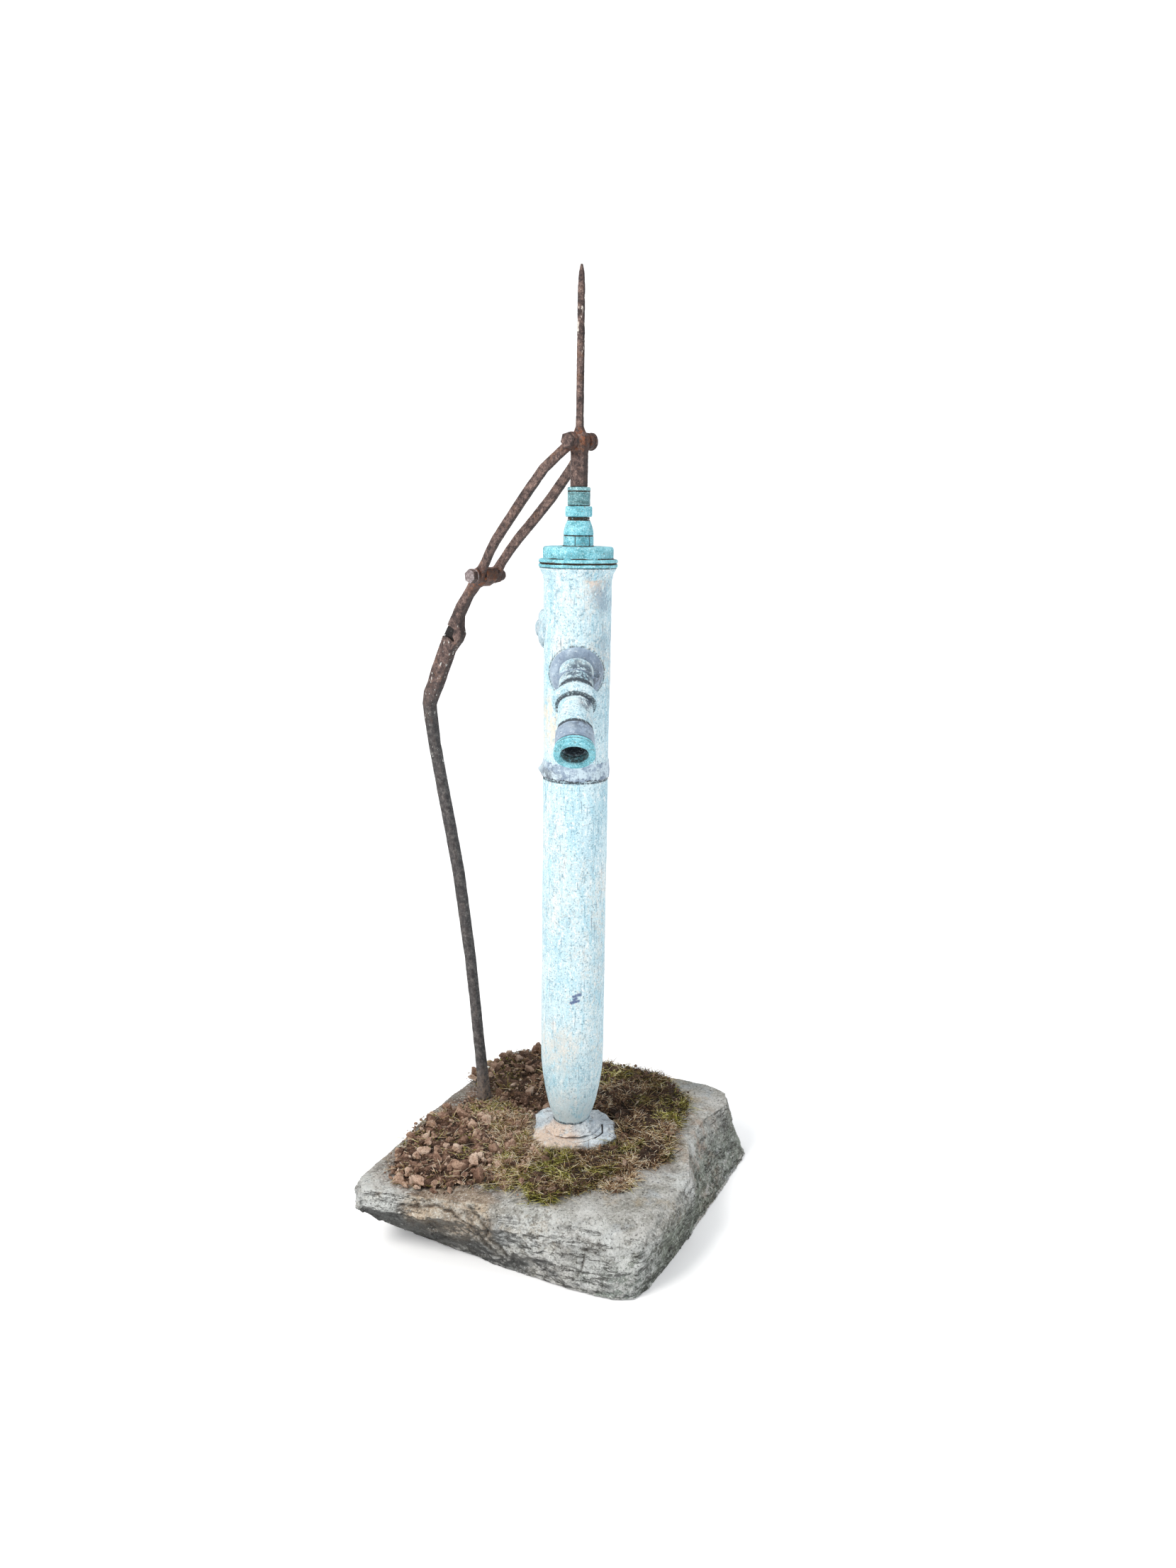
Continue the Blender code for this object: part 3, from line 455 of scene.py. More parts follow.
def iron_handle(name):
    """The handle: brown at the top, near black lower down, with pale chips on its outer edge."""
    paint = rusted(name, ((LOWER_PIN, 0.012, 0.055),), 0.25)
    height = paint.axis("Z")
    low = paint.band(height, 0.93, 0.80)
    tone = paint.ramp(paint.noise(120, 6, 0.78), (0.36, 34, 34, 36), (0.50, 66, 65, 66),
                      (0.62, 104, 101, 98), (0.74, 150, 146, 140))
    paint.over(tone, low, 0.88)
    foot = paint.both(paint.band(height, 0.20, 0.14), paint.band(paint.noise(140, 5, 0.75), 0.40, 0.56),
                      0.8)
    paint.over(rgb(134, 118, 106), foot)
    chips = paint.both(paint.band(paint.noise(210, 3, 0.6, paint.stretched((1, 1, 0.45))), 0.64, 0.69),
                       paint.band(height, 0.68, 0.78), paint.band(height, 1.02, 0.98))
    paint.over(rgb(214, 214, 208), chips)
    paint.colour(paint.now)
    return paint.material


def iron_rod(name):
    paint = rusted(name, ((UPPER_PIN, 0.010, 0.030),), 0.3)
    height = paint.axis("Z")
    chips = paint.both(paint.band(paint.noise(160, 3, 0.6, paint.stretched((1, 1, 0.4))), 0.58, 0.63),
                       paint.band(height, 1.42, 1.46), paint.band(height, 1.56, 1.54))
    paint.over(rgb(222, 214, 204), chips)
    paint.colour(paint.now)
    return paint.material


def sandstone(name):
    """Weathered sandstone: pale grey top, cream break at the front's left, green-grey right side."""
    paint = Paint(name, 0.86, 0.0, 0.3)
    cloud = paint.noise(13, 9, 0.80)
    paint.now = paint.ramp(cloud, (0.34, 124, 121, 112), (0.43, 182, 179, 170),
                           (0.53, 222, 220, 214), (0.64, 244, 243, 238))
    blue = paint.band(paint.noise(13, 5, 0.7, paint.stretched((1, 1, 1), (8, 2, 2))), 0.50, 0.64)
    paint.over(rgb(206, 214, 220), blue, 0.5)
    ochre = paint.band(paint.noise(12, 6, 0.7, paint.stretched((1, 1, 1), (4, 2, 7))), 0.53, 0.65)
    paint.over(rgb(206, 186, 154), ochre, 0.5)
    facing = paint.axes(paint.normal)
    ragged = paint.warped(20, 0.08)
    mottle = paint.noise(50, 7, 0.8)
    side = paint.both(paint.band(facing["X"], 0.25, 0.75), paint.band(facing["Z"], 0.85, 0.35),
                      paint.band(paint.axis("Z"), 0.116, 0.055, 0.25, 1.0))
    lichen = paint.ramp(mottle, (0.36, 62, 68, 56), (0.45, 98, 108, 92), (0.54, 136, 147, 132),
                        (0.63, 196, 205, 192))
    paint.over(lichen, side, 0.85)
    flush = paint.both(paint.near((0.20, 0.0, 0.115), 0.05, 0.15, ragged),
                       paint.band(paint.noise(26, 6, 0.75, paint.stretched((1, 1, 1), (5, 1, 4))), 0.48,
                                  0.60), 0.7)
    paint.over(rgb(196, 172, 152), flush)
    cream = paint.ramp(mottle, (0.36, 160, 130, 98), (0.47, 216, 190, 158), (0.60, 238, 226, 206))
    warm = paint.near((-0.190, -0.240, 0.090), 0.055, 0.095, ragged)
    paint.over(cream, warm, 0.85)
    shadow = paint.ramp(mottle, (0.38, 48, 50, 50), (0.48, 84, 87, 87), (0.60, 150, 154, 152))
    for centre, inner, outer in (((-0.315, -0.222, 0.066), 0.025, 0.060),
                                 ((-0.240, -0.222, 0.032), 0.030, 0.060),
                                 ((-0.160, -0.222, 0.004), 0.030, 0.058),
                                 ((-0.085, -0.255, 0.006), 0.020, 0.045)):
        mask = paint.both(paint.near(centre, inner, outer, ragged), 0.8)
        paint.over(shadow, mask)
    chalk = paint.both(paint.band(mottle, 0.42, 0.52), 0.8)
    for centre, inner, outer in (((-0.31, -0.20, 0.115), 0.02, 0.07), ((-0.06, -0.285, 0.085), 0.02, 0.08),
                                 ((0.04, -0.31, 0.075), 0.02, 0.08), ((0.115, -0.315, 0.045), 0.03, 0.08),
                                 ((0.20, -0.16, 0.11), 0.01, 0.05), ((0.23, -0.03, 0.11), 0.01, 0.05)):
        paint.over(rgb(244, 246, 242), paint.near(centre, inner, outer, ragged), chalk)
    green = paint.both(paint.near((0.08, -0.32, 0.0), 0.03, 0.10, ragged), paint.band(mottle, 0.54, 0.44),
                       0.7)
    paint.over(rgb(142, 160, 148), green)
    steep = paint.band(facing["Z"], 0.80, 0.45)
    # Painted shade: the steep front faces are greyed in broken patches, so they read darker than the top.
    front = paint.both(paint.band(facing["Y"], -0.25, -0.65), steep,
                       paint.band(paint.noise(9, 6, 0.75, paint.stretched((1, 1, 1.6), (2, 2, 8))), 0.42,
                                  0.58), 0.45)
    paint.over(paint.ramp(mottle, (0.38, 92, 92, 88), (0.50, 142, 143, 140),
                          (0.62, 198, 200, 198)), front)
    strata = paint.noise(1, 6, 0.72, paint.stretched((10, 10, 62), turn=(0.05, 0.22, 0)))
    seam = paint.both(paint.band(strata, 0.475, 0.497), paint.band(strata, 0.525, 0.503), steep,
                      paint.band(paint.noise(11, 4), 0.44, 0.54), 0.8)
    paint.over(rgb(62, 54, 48), seam)
    back = paint.both(paint.band(paint.axis("Y"), 0.12, 0.30), paint.band(paint.noise(14, 5), 0.36, 0.55),
                      0.65)
    paint.over(rgb(112, 112, 94), back)
    left = paint.both(paint.near((-0.25, 0.06, 0.118), 0.05, 0.17, ragged), paint.band(mottle, 0.36, 0.55),
                      0.6)
    paint.over(rgb(120, 118, 98), left)
    level = paint.band(facing["Z"], 0.6, 0.9)
    for centre, inner, outer, strength in (((-0.13, 0.09, 0.118), 0.08, 0.15, 1.0),
                                           ((-0.03, 0.02, 0.118), 0.18, 0.27, 0.45),
                                           ((-0.19, -0.12, 0.118), 0.11, 0.16, 0.6)):
        stain = paint.both(paint.near(centre, inner, outer, paint.warped(26, 0.09)), level,
                           paint.band(paint.noise(60, 6, 0.75), 0.36, 0.52), strength)
        paint.over(paint.ramp(mottle, (0.42, 88, 64, 50), (0.58, 160, 130, 108)), stain)
    grain = paint.noise(270, 4, 0.75)
    paint.over(rgb(78, 75, 70), paint.band(grain, 0.46, 0.35, 0.0, 0.85))
    paint.over(rgb(250, 250, 246), paint.band(grain, 0.56, 0.65, 0.0, 0.85))
    paint.over(rgb(108, 105, 98), paint.band(mottle, 0.44, 0.36, 0.0, 0.6))
    pits = paint.both(paint.band(paint.cells(95), 0.17, 0.09), paint.band(paint.noise(24), 0.53, 0.60), 0.8)
    paint.over(rgb(62, 58, 54), pits)
    spots = paint.both(paint.band(paint.cells(105, paint.stretched((1, 1, 0.2))), 0.22, 0.16),
                       paint.band(paint.noise(60), 0.48, 0.54))
    specks = paint.both(paint.near((0.150, -0.198, 0.116), 0.030, 0.050), spots)
    paint.over(rgb(44, 44, 50), specks)
    # Painted shade in the cracks.
    paint.over(rgb(70, 60, 50), paint.attribute("shade"), 0.85)
    # Painted shade on faces turned down.
    paint.over(rgb(60, 60, 58), paint.band(facing["Z"], -0.05, -0.45), 0.75)
    paint.colour(paint.now)
    paint.rough(paint.band(grain, 0.3, 0.7, 0.78, 0.95))
    paint.bump((paint.noise(60, 6, 0.78), 0.009), (mottle, 0.005), (grain, 0.0016),
               (paint.calc('SUBTRACT', 1, seam), 0.003))
    return paint.material


def earth(name, dark=0.0):
    """Dry soil, each clod in a tone of its own."""
    paint = Paint(name, 0.95, 0.0, 0.15)
    tone = paint.calc('ADD', paint.calc('MULTIPLY', paint.attribute("tone"), 0.75),
                      paint.calc('MULTIPLY', paint.noise(190, 6, 0.8), 0.42))
    paint.now = paint.ramp(tone, (0.18, 34, 24, 19), (0.38, 84, 62, 50),
                           (0.56, 142, 110, 92), (0.74, 190, 158, 136),
                           (0.94, 226, 202, 182))
    grain = paint.noise(460, 4, 0.75)
    paint.over(rgb(36, 26, 21), paint.band(grain, 0.46, 0.36, 0.0, 0.85))
    paint.over(rgb(226, 204, 186), paint.band(grain, 0.57, 0.66, 0.0, 0.5))
    if dark:
        paint.over(rgb(40, 29, 20), dark)
    paint.colour(paint.now)
    paint.bump((paint.noise(220, 5, 0.7), 0.003), (grain, 0.001))
    return paint.material


def mossy(name):
    """Moss and dry roots: brown to straw, or olive where a strand's "green" says so."""
    paint = Paint(name, 0.8, 0.0, 0.2)
    tone = paint.calc('ADD', paint.attribute("tone"),
                      paint.calc('MULTIPLY', paint.calc('SUBTRACT', paint.noise(30, 4), 0.5), 0.25))
    dry = paint.ramp(tone, (0.06, 32, 22, 15), (0.26, 88, 62, 44), (0.48, 150, 116, 86),
                     (0.68, 204, 176, 138), (0.95, 248, 238, 214))
    live = paint.ramp(tone, (0.06, 30, 26, 13), (0.26, 84, 78, 30), (0.48, 140, 136, 54),
                      (0.68, 190, 184, 96), (0.95, 232, 224, 170))
    paint.colour(paint.mix(paint.attribute("green"), dry, live))
    paint.bump((paint.noise(900, 2), 0.0002))
    return paint.material


def inner_metal(name, tone):
    paint = Paint(name, 0.42, 0.85, 0.5)
    cloud = paint.noise(40, 5)
    paint.colour(paint.mix(paint.band(cloud, 0.35, 0.65), tone, tuple(part * 0.6 for part in tone)))
    paint.rough(paint.band(cloud, 0.3, 0.7, 0.32, 0.55))
    paint.bump((paint.noise(1, 3, 0.6, paint.stretched((60, 60, 900))), 0.0001))
    return paint.material


def soft_packing(name, tone, lay=(200, 200, 700)):
    paint = Paint(name, 0.85, 0.0, 0.3)
    fibre = paint.noise(1, 4, 0.7, paint.stretched(lay))
    paint.colour(paint.mix(paint.band(fibre, 0.35, 0.65), tone, tuple(part * 0.45 for part in tone)))
    paint.bump((fibre, 0.0004))
    return paint.material


# ---------------------------------------------------------------- pieces and meshes

def add_extra(name, mesh, material, like, sharp=40):
    """A piece that rides on a CAD node's body. The node stays."""
    mesh.shade_smooth()
    mesh.set_sharp_from_angle(angle=radians(sharp))
    mesh.materials.clear()
    mesh.materials.append(material)
    piece = bpy.data.objects.new(name, mesh)
    bpy.context.scene.collection.objects.link(piece)
    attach(piece, BODY_OF[like])
    return piece


def add_piece(name, mesh, material, nodes, sharp=40):
    """A piece that rides on the body of the CAD nodes that it stands for, and hides them."""
    nodes = [nodes] if isinstance(nodes, str) else list(nodes)
    piece = add_extra(name, mesh, material, nodes[0], sharp)
    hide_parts(*nodes)
    return piece


def applied(mesh, *modifiers):
    """A copy of a mesh with modifiers (kind, settings) applied."""
    carrier = bpy.data.objects.new("carrier", mesh)
    bpy.context.scene.collection.objects.link(carrier)
    for kind, settings in modifiers:
        modifier = carrier.modifiers.new(kind, kind)
        for key, value in settings.items():
            setattr(modifier, key, value)
    graph = bpy.context.evaluated_depsgraph_get()
    result = bpy.data.meshes.new_from_object(carrier.evaluated_get(graph))
    bpy.data.objects.remove(carrier)
    return result


def joined(meshes):
    bm = bmesh.new()
    for mesh in meshes:
        bm.from_mesh(mesh)
    result = bpy.data.meshes.new("joined")
    bm.to_mesh(result)
    bm.free()
    return result


def remeshed(nodes, voxel, smooth=3):
    """The CAD solids' own shape on an even fine grid, with its edges softened."""
    nodes = [nodes] if isinstance(nodes, str) else nodes
    source = joined([NODES[node].data for node in nodes])
    bm = bmesh.new()
    bm.from_mesh(source)
    bmesh.ops.remove_doubles(bm, verts=bm.verts, dist=0.00001)
    bm.to_mesh(source)
    bm.free()
    return applied(source, ('REMESH', {"mode": 'VOXEL', "voxel_size": voxel}),
                   ('SMOOTH', {"factor": 0.5, "iterations": smooth}))


def mesh_from(vertices, faces):
    mesh = bpy.data.meshes.new("piece")
    mesh.from_pydata([tuple(vertex) for vertex in vertices], [], faces)
    mesh.update()
    return mesh


def outward(mesh):
    """Turn every face of a closed mesh outwards."""
    bm = bmesh.new()
    bm.from_mesh(mesh)
    bmesh.ops.recalc_face_normals(bm, faces=bm.faces)
    if bm.calc_volume(signed=True) < 0:
        bmesh.ops.reverse_faces(bm, faces=bm.faces)
    bm.to_mesh(mesh)
    bm.free()


def bore_through(piece, tool):
    """Cut a closed tool mesh out of a piece, for good."""
    carrier = bpy.data.objects.new("tool", tool)
    bpy.context.scene.collection.objects.link(carrier)
    source = piece.data
    piece.data = applied(source.copy(), ('BOOLEAN', {"operation": 'DIFFERENCE', "solver": 'EXACT',
                                                     "object": carrier}))
    bpy.data.objects.remove(carrier)


def arrays(mesh):
    places = np.zeros(len(mesh.vertices) * 3)
    normals = np.zeros(len(mesh.vertices) * 3)
    mesh.vertices.foreach_get("co", places)
    mesh.vertex_normals.foreach_get("vector", normals)
    return places.reshape(-1, 3), normals.reshape(-1, 3)


def write_places(mesh, places):
    mesh.vertices.foreach_set("co", places.astype(np.float32).ravel())
    mesh.update()


def with_values(mesh, name, values):
    """Store one number per vertex for the materials to read."""
    layer = mesh.attributes.new(name, 'FLOAT', 'POINT')
    layer.data.foreach_set("value", np.asarray(values, dtype=np.float32))
    return mesh


def with_shade(mesh, values):
    """Store how much painted shade each vertex gets, 0 to 1, for the materials' crevice shade."""
    return with_values(mesh, "shade", np.clip(values, 0, 1))


def near_levels(values, *levels):
    """How close values are to any of some levels, each given as (level, width): 1 on it, 0 away from it."""
    result = np.zeros(len(values))
    for level, width in levels:
        result = np.maximum(result, np.exp(-((values - level) / width) ** 2))
    return result


def lumps(places, scale, octaves=1, shift=(0, 0, 0)):
    """Smooth noise at every point, about -1 to 1."""
    scaled = places * np.asarray(scale) + np.asarray(shift)
    total = np.zeros(len(places))
    weight = 1.0
    for _ in range(octaves):
        total += weight * np.array([noise.noise(point) for point in scaled])
        scaled = scaled * 2.1 + 3.7
        weight *= 0.5
    return total * 1.6


def sculpt(mesh, *layers):
    """Push each vertex along its normal by layers of (depth in millimetres, scale, octaves)."""
    places, normals = arrays(mesh)
    push = sum(depth * MM * lumps(places, scale, octaves) for depth, scale, octaves in layers)
    write_places(mesh, places + normals * push[:, None])
    return mesh


def segment_distance(places, path):
    """Distance of every point from a path of points, in the path's own unit."""
    nearest = np.full(len(places), 1e9)
    for start, end in zip(path, path[1:]):
        start, run = np.array(start), np.array(end) - np.array(start)
        share = np.clip(((places - start) @ run) / (run @ run), 0, 1)
        nearest = np.minimum(nearest, np.linalg.norm(places - (start + share[:, None] * run), axis=1))
    return nearest


def refine(profile, step, closed=True):
    """Split a profile's long runs so that no piece of it is longer than a step."""
    points = []
    ends = profile[1:] + (profile[:1] if closed else [])
    for start, end in zip(profile, ends):
        count = max(1, math.ceil(math.dist(start, end) / step))
        points += [(start[0] + (end[0] - start[0]) * index / count, start[1] + (end[1] - start[1]) * index
                    / count) for index in range(count)]
    if not closed:
        points.append(profile[-1])
    return points


def rings_mesh(rings, closed=True):
    """Skin a list of equal rings of points. Closed on itself, or with its ends filled."""
    count, rows = len(rings[0]), len(rings)
    faces = []
    for row in range(rows if closed else rows - 1):
        start, following = row * count, (row + 1) % rows * count
        for index in range(count):
            after = (index + 1) % count
            faces.append((start + index, start + after, following + after, following + index))
    if not closed:
        faces.append(tuple(range(count)))
        faces.append(tuple((rows - 1) * count + index for index in range(count)))
    mesh = mesh_from([point for ring in rings for point in ring], faces)
    outward(mesh)
    return mesh


def circle(radius, height, sides):
    """A level ring about Z, in millimetres. The radius is a number or a function of the angle."""
    ring = []
    for index in range(sides):
        angle = 2 * pi * index / sides
        size = radius(angle) if callable(radius) else radius
        ring.append(Vector((size * cos(angle), size * sin(angle), height)) * MM)
    return ring


def turned(profile, sides=120, step=4.0, placement=None, closed=True):
    """Turn a profile of (radius, height) in millimetres about Z, then place it."""
    mesh = rings_mesh([circle(radius, height, sides) for radius, height in refine(profile, step, closed)],
                      closed)
    if placement is not None:
        mesh.transform(placement)
    return mesh


def along(origin, direction):
    return Matrix.Translation(origin) @ Vector(direction).to_track_quat('Z', 'Y').to_matrix().to_4x4()


def low(node):
    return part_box(node)[0].z / MM


def high(node):
    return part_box(node)[1].z / MM


def reach(node):
    """Largest radius of a node turned about the barrel's axis, in millimetres."""
    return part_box(node)[1].x / MM


# ---------------------------------------------------------------- the lead barrel

def build_lower_barrel():
    base, top, outer = low("lower_barrel"), high("lower_barrel"), reach("lower_barrel")
    bore = outer - 9
    profile = [(31, base), (30, base + 8), (29.8, base + 15), (31, base + 20.5), (34.2, base + 29),
               (38, base + 38.5), (41.6, base + 51), (44.6, base + 64.5), (47.6, base + 80),
               (50.1, base + 96), (52.2, base + 113), (53.4, base + 129), (outer, base + 146), (outer, top),
               (bore, top), (bore, base + 130), (36, base + 60), (20, base + 20), (20, base)]
    scuff = [(Vector((across * MM, -0.0535, height * MM)), 0.0012, 0.0042, rgb(96, 112, 146), 1.0)
             for across, height in ((-2, 384.5), (2, 385.5), (6, 386.5), (10, 387.5), (3, 390), (6, 392.5),
                                    (2, 396), (6, 397.5), (10, 398.5), (13, 399))]
    tail = (Vector((0.0, -0.03, 0.17)), 0.03, 0.07, rgb(208, 222, 226), 0.75)
    cream = (Vector((-0.03, -0.045, 0.30)), 0.02, 0.07, rgb(226, 216, 204), 0.5)
    mesh = sculpt(turned(profile, 144, 4), (0.5, (16, 16, 7), 2), (0.22, (70, 70, 34), 2),
                  (0.12, (230, 230, 60), 1))
    places, _ = arrays(mesh)
    # Painted shade in a line just below the band and in a line low down near the foot.
    with_shade(mesh, 0.55 * near_levels(places[:, 2] / MM, (high("barrel_band") - 30, 1.6),
                                        (base + 18.5, 2.5)))
    add_piece("lower_barrel_lead", mesh, patina("lower_lead", 0.0, (*scuff, tail, cream), 0.4),
              "lower_barrel")


def build_upper_barrel():
    base, top, outer = low("upper_barrel"), high("upper_barrel"), reach("upper_barrel")
    profile = [(outer - 1.6, base), (outer - 1.6, base + 20), (outer - 1.0, base + 120),
               (outer, base + 305), (outer, top), (46, top), (46, base)]
    bruise = (Vector((0.044, -0.034, 1.062)), 0.012, 0.040, rgb(126, 148, 168), 0.6)
    lower = (Vector((0.050, -0.022, 0.985)), 0.012, 0.045, rgb(138, 162, 178), 0.5)
    left = (Vector((-0.045, -0.035, 0.86)), 0.02, 0.06, rgb(232, 214, 190), 0.7)
    under_head = (Vector((0.022, -0.050, 1.094)), 0.008, 0.030, rgb(236, 206, 182), 0.6)
    mesh = sculpt(turned(profile, 144, 4), (0.45, (18, 18, 8), 2), (0.25, (70, 70, 40), 2),
                  (0.14, (240, 240, 50), 1))
    places, _ = arrays(mesh)
    collar_height = (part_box("spout_collar")[0].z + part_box("spout_collar")[1].z) / 2
    round_collar = np.hypot(places[:, 0], places[:, 2] - collar_height) / MM
    # Painted shade: a ring round the spout collar's edge, on the front half only, and a line just under the head
    # collar.
    dirt_and_shade = 0.5 * near_levels(round_collar, (44.6, 1.4)) * (places[:, 1] < 0)
    dirt_and_shade = np.maximum(dirt_and_shade, 0.5 * near_levels(places[:, 2] / MM, (low("head_collar") - 1.5, 1.5)))
    with_shade(mesh, dirt_and_shade)
    material = patina("upper_lead", 0.10, (bruise, lower, left, under_head))
    piece = add_piece("upper_barrel_lead", mesh, material, "upper_barrel")
    start, heading = spout_at(0.181)
    tool = turned([(0.01, -30), (PIPE_BORE, -30), (PIPE_BORE, 14), (0.01, 14)], 48, 60,
                  along(start, heading), closed=False)
    bore_through(piece, tool)


def build_band():
    """The wiped joint: a soft swelling with a ragged lower lip and a drip on the left."""
    base, top = low("barrel_band"), high("barrel_band")
    profile = [(54.0, base), (55.3, base - 0.2), (56.1, base + 2.5), (56.4, base + 7), (56.3, base + 14),
               (55.8, base + 20), (55.0, base + 25), (54.4, top), (53.5, top), (53.5, base)]
    mesh = turned(profile, 200, 1.2)
    places, normals = arrays(mesh)
    angle = np.arctan2(places[:, 1], places[:, 0])
    edge = lumps(np.c_[np.cos(angle), np.sin(angle), angle * 0], 5.0, 3)
    fine = lumps(np.c_[np.cos(angle), np.sin(angle), angle * 0], 17.0, 2, (3, 3, 3))
    along_band = (places[:, 2] / MM - base) / (top - base)
    places[:, 2] += (edge * 1.6 + fine * 0.8) * MM * (1 - along_band) + edge * 1.5 * MM * along_band
    places += normals * (0.5 * MM * lumps(places, 45, 2))[:, None]
    turn = np.abs(np.angle(np.exp(1j * (angle - pi))))
    drip = np.exp(-(turn / 0.10) ** 2) * np.exp(-((along_band - 0.42) / 0.22) ** 2)
    outer_side = np.hypot(places[:, 0], places[:, 1]) > 0.0548
    places[:, :2] *= 1 + (drip * outer_side * 0.105)[:, None]
    write_places(mesh, places)
    # Painted shade along the band's lower lip, in patches.
    with_shade(mesh, np.exp(-(along_band / 0.07) ** 2) * np.clip(0.55 + 0.6 * fine, 0.1, 0.9))
    solder = wiped("band_solder", (-0.050, -0.030, 0.752), 0.8)
    add_piece("barrel_band_solder", mesh, solder, "barrel_band")


def build_foot():
    """The plate and the wiped mound on it are hand worked lead, so both are lumpy and cracked."""
    crack_path = [(0.008, -0.058), (0.028, -0.054), (0.046, -0.040), (0.055, -0.020), (0.055, 0.004)]
    flat_path = [(*point, 0.0) for point in crack_path]
    peach = rgb(216, 194, 176)
    marks = ((Vector((-0.045, -0.050, 0.122)), 0.030, 0.058, peach, 1.0),
             (Vector((-0.012, -0.055, 0.136)), 0.018, 0.045, peach, 0.95),
             (Vector((0.060, 0.0, 0.130)), 0.020, 0.050, rgb(170, 180, 190), 0.6))
    for node, voxel, depth in (("foot_plate", 1.3 * MM, 2.4 * MM),
                               ("foot_wiped_joint", 1.1 * MM, 3.0 * MM)):
        mesh = remeshed(node, voxel, 10)
        places, normals = arrays(mesh)
        upper = np.clip((places[:, 2] - 0.120) / 0.006, 0, 1)
        push = depth * lumps(places, 30, 3) * (0.3 + 0.7 * upper) + 0.6 * MM * lumps(places, 110, 2) * upper
        push -= 0.9 * MM
        flat = places * (1, 1, 0)
        flat[:, :2] += np.stack([lumps(places, 90, 1), lumps(places, 90, 1, (5, 5, 5))], 1) * 1.5 * MM
        crack = np.exp(-(segment_distance(flat, flat_path) / (1.4 * MM)) ** 2) * (places[:, 2] > 0.127)
        push -= 3.0 * MM * crack
        places = places + normals * push[:, None]
        places[:, 2] = np.maximum(places[:, 2], STONE_TOP + 0.0002)
        write_places(mesh, places)
        # Painted shade in the crack.
        with_shade(mesh, crack)
        add_piece(node + "_lead", mesh, plate_lead(node + "_finish", marks), node, 60)


# ---------------------------------------------------------------- the spout and the side outlet

MOUTH = Vector(MOUNTS["outlet_face"]["pos_m"])
MOUTH.x = 0
MOUTH_AXIS = Vector(MOUNTS["outlet_face"]["axis"]).normalized()
MOUTH_SLOPE = math.atan2(-MOUTH_AXIS.z, -MOUTH_AXIS.y)
SPOUT_BEND = radians(10) / 0.199      # how fast the spout's slope changes along it, per metre


def spout_at(back):
    """Point and heading on the spout's axis, a distance in metres back from the mouth."""
    slope = MOUTH_SLOPE - SPOUT_BEND * back
    point = MOUTH + Vector((0, (sin(MOUTH_SLOPE) - sin(slope)),
                            (cos(slope) - cos(MOUTH_SLOPE)))) / SPOUT_BEND
    return point, Vector((0, -cos(slope), -sin(slope)))


def along_spout(places):
    """Points' distance back from the mouth along the spout, and from its axis, in millimetres."""
    step = 2
    centres = np.array([spout_at(back * MM)[0] for back in range(0, 200, step)])
    gaps = np.linalg.norm(places[:, None] - centres[None], axis=2)
    return gaps.argmin(axis=1) * float(step), gaps.min(axis=1) / MM


def spout_mesh(profile, sides=96, step=2.5):
    """Sweep a closed profile of (distance back from the mouth, radius), in millimetres, along the spout."""
    rings = []
    side = Vector((1, 0, 0))
    for back, radius in refine(profile, step):
        point, heading = spout_at(back * MM)
        rise = side.cross(heading)
        rings.append([point + (side * cos(angle) + rise * sin(angle)) * radius * MM
                      for angle in (2 * pi * index / sides for index in range(sides))])
    return rings_mesh(rings)


def build_spout():
    pipe = spout_mesh([(182, PIPE_RADIUS), (18.6, PIPE_RADIUS), (18.6, 22), (19.4, PIPE_BORE),
                       (182, PIPE_BORE)])
    sculpt(pipe, (0.35, 40, 2), (0.12, 150, 1))
    back, from_axis = along_spout(arrays(pipe)[0])
    # Painted shade: an arc on the pipe just behind the bead, lines at the bead's front edge and at the wiped
    # joint, and inside the bore.
    dirt_and_shade = 0.75 * near_levels(back, (133.5, 5.5), (100.5, 2.5), (48, 3))
    with_shade(pipe, np.maximum(dirt_and_shade, 0.55 * (from_axis < 23)))
    dark = rgb(84, 96, 110)
    marks = ((Vector((0.004, -0.090, 0.948)), 0.016, 0.034, dark, 0.95),
             (Vector((0.018, -0.132, 0.910)), 0.006, 0.024, dark, 1.0),
             (Vector((0.010, -0.150, 0.897)), 0.008, 0.020, dark, 0.95))
    add_piece("spout_pipe_lead", pipe, patina("spout_patina", 0.15, marks), "spout_pipe")
    bead = spout_mesh([(121.4, 27.2), (121, 31.5), (118.8, 35.4), (115.6, 37.4), (112, 37.9), (108.2, 37.4),
                       (104.8, 35.4), (102.6, 31.5), (102.2, 27.2)], step=1.2)
    sculpt(bead, (0.5, 60, 2))
    # Painted shade along both edges of the bead.
    with_shade(bead, 0.45 * near_levels(along_spout(arrays(bead)[0])[0], (121, 2.6), (101.5, 2.2)))
    add_piece("spout_bead_lead", bead, patina("bead_patina", 0.1), "spout_bead")
    joint = spout_mesh([(46.5, 27.2), (45.8, 28.4), (43, 29.3), (38, 29.9), (31, 30.3), (24, 30.5),
                        (19, 30), (18.2, 28.8), (18.2, 27.2)], step=1.4)
    sculpt(joint, (0.5, 55, 2))
    add_piece("spout_joint_solder", joint, wiped("spout_solder", (0.020, -0.165, 0.895)), "spout_joint")
    build_outlet_ring()
    build_collar()


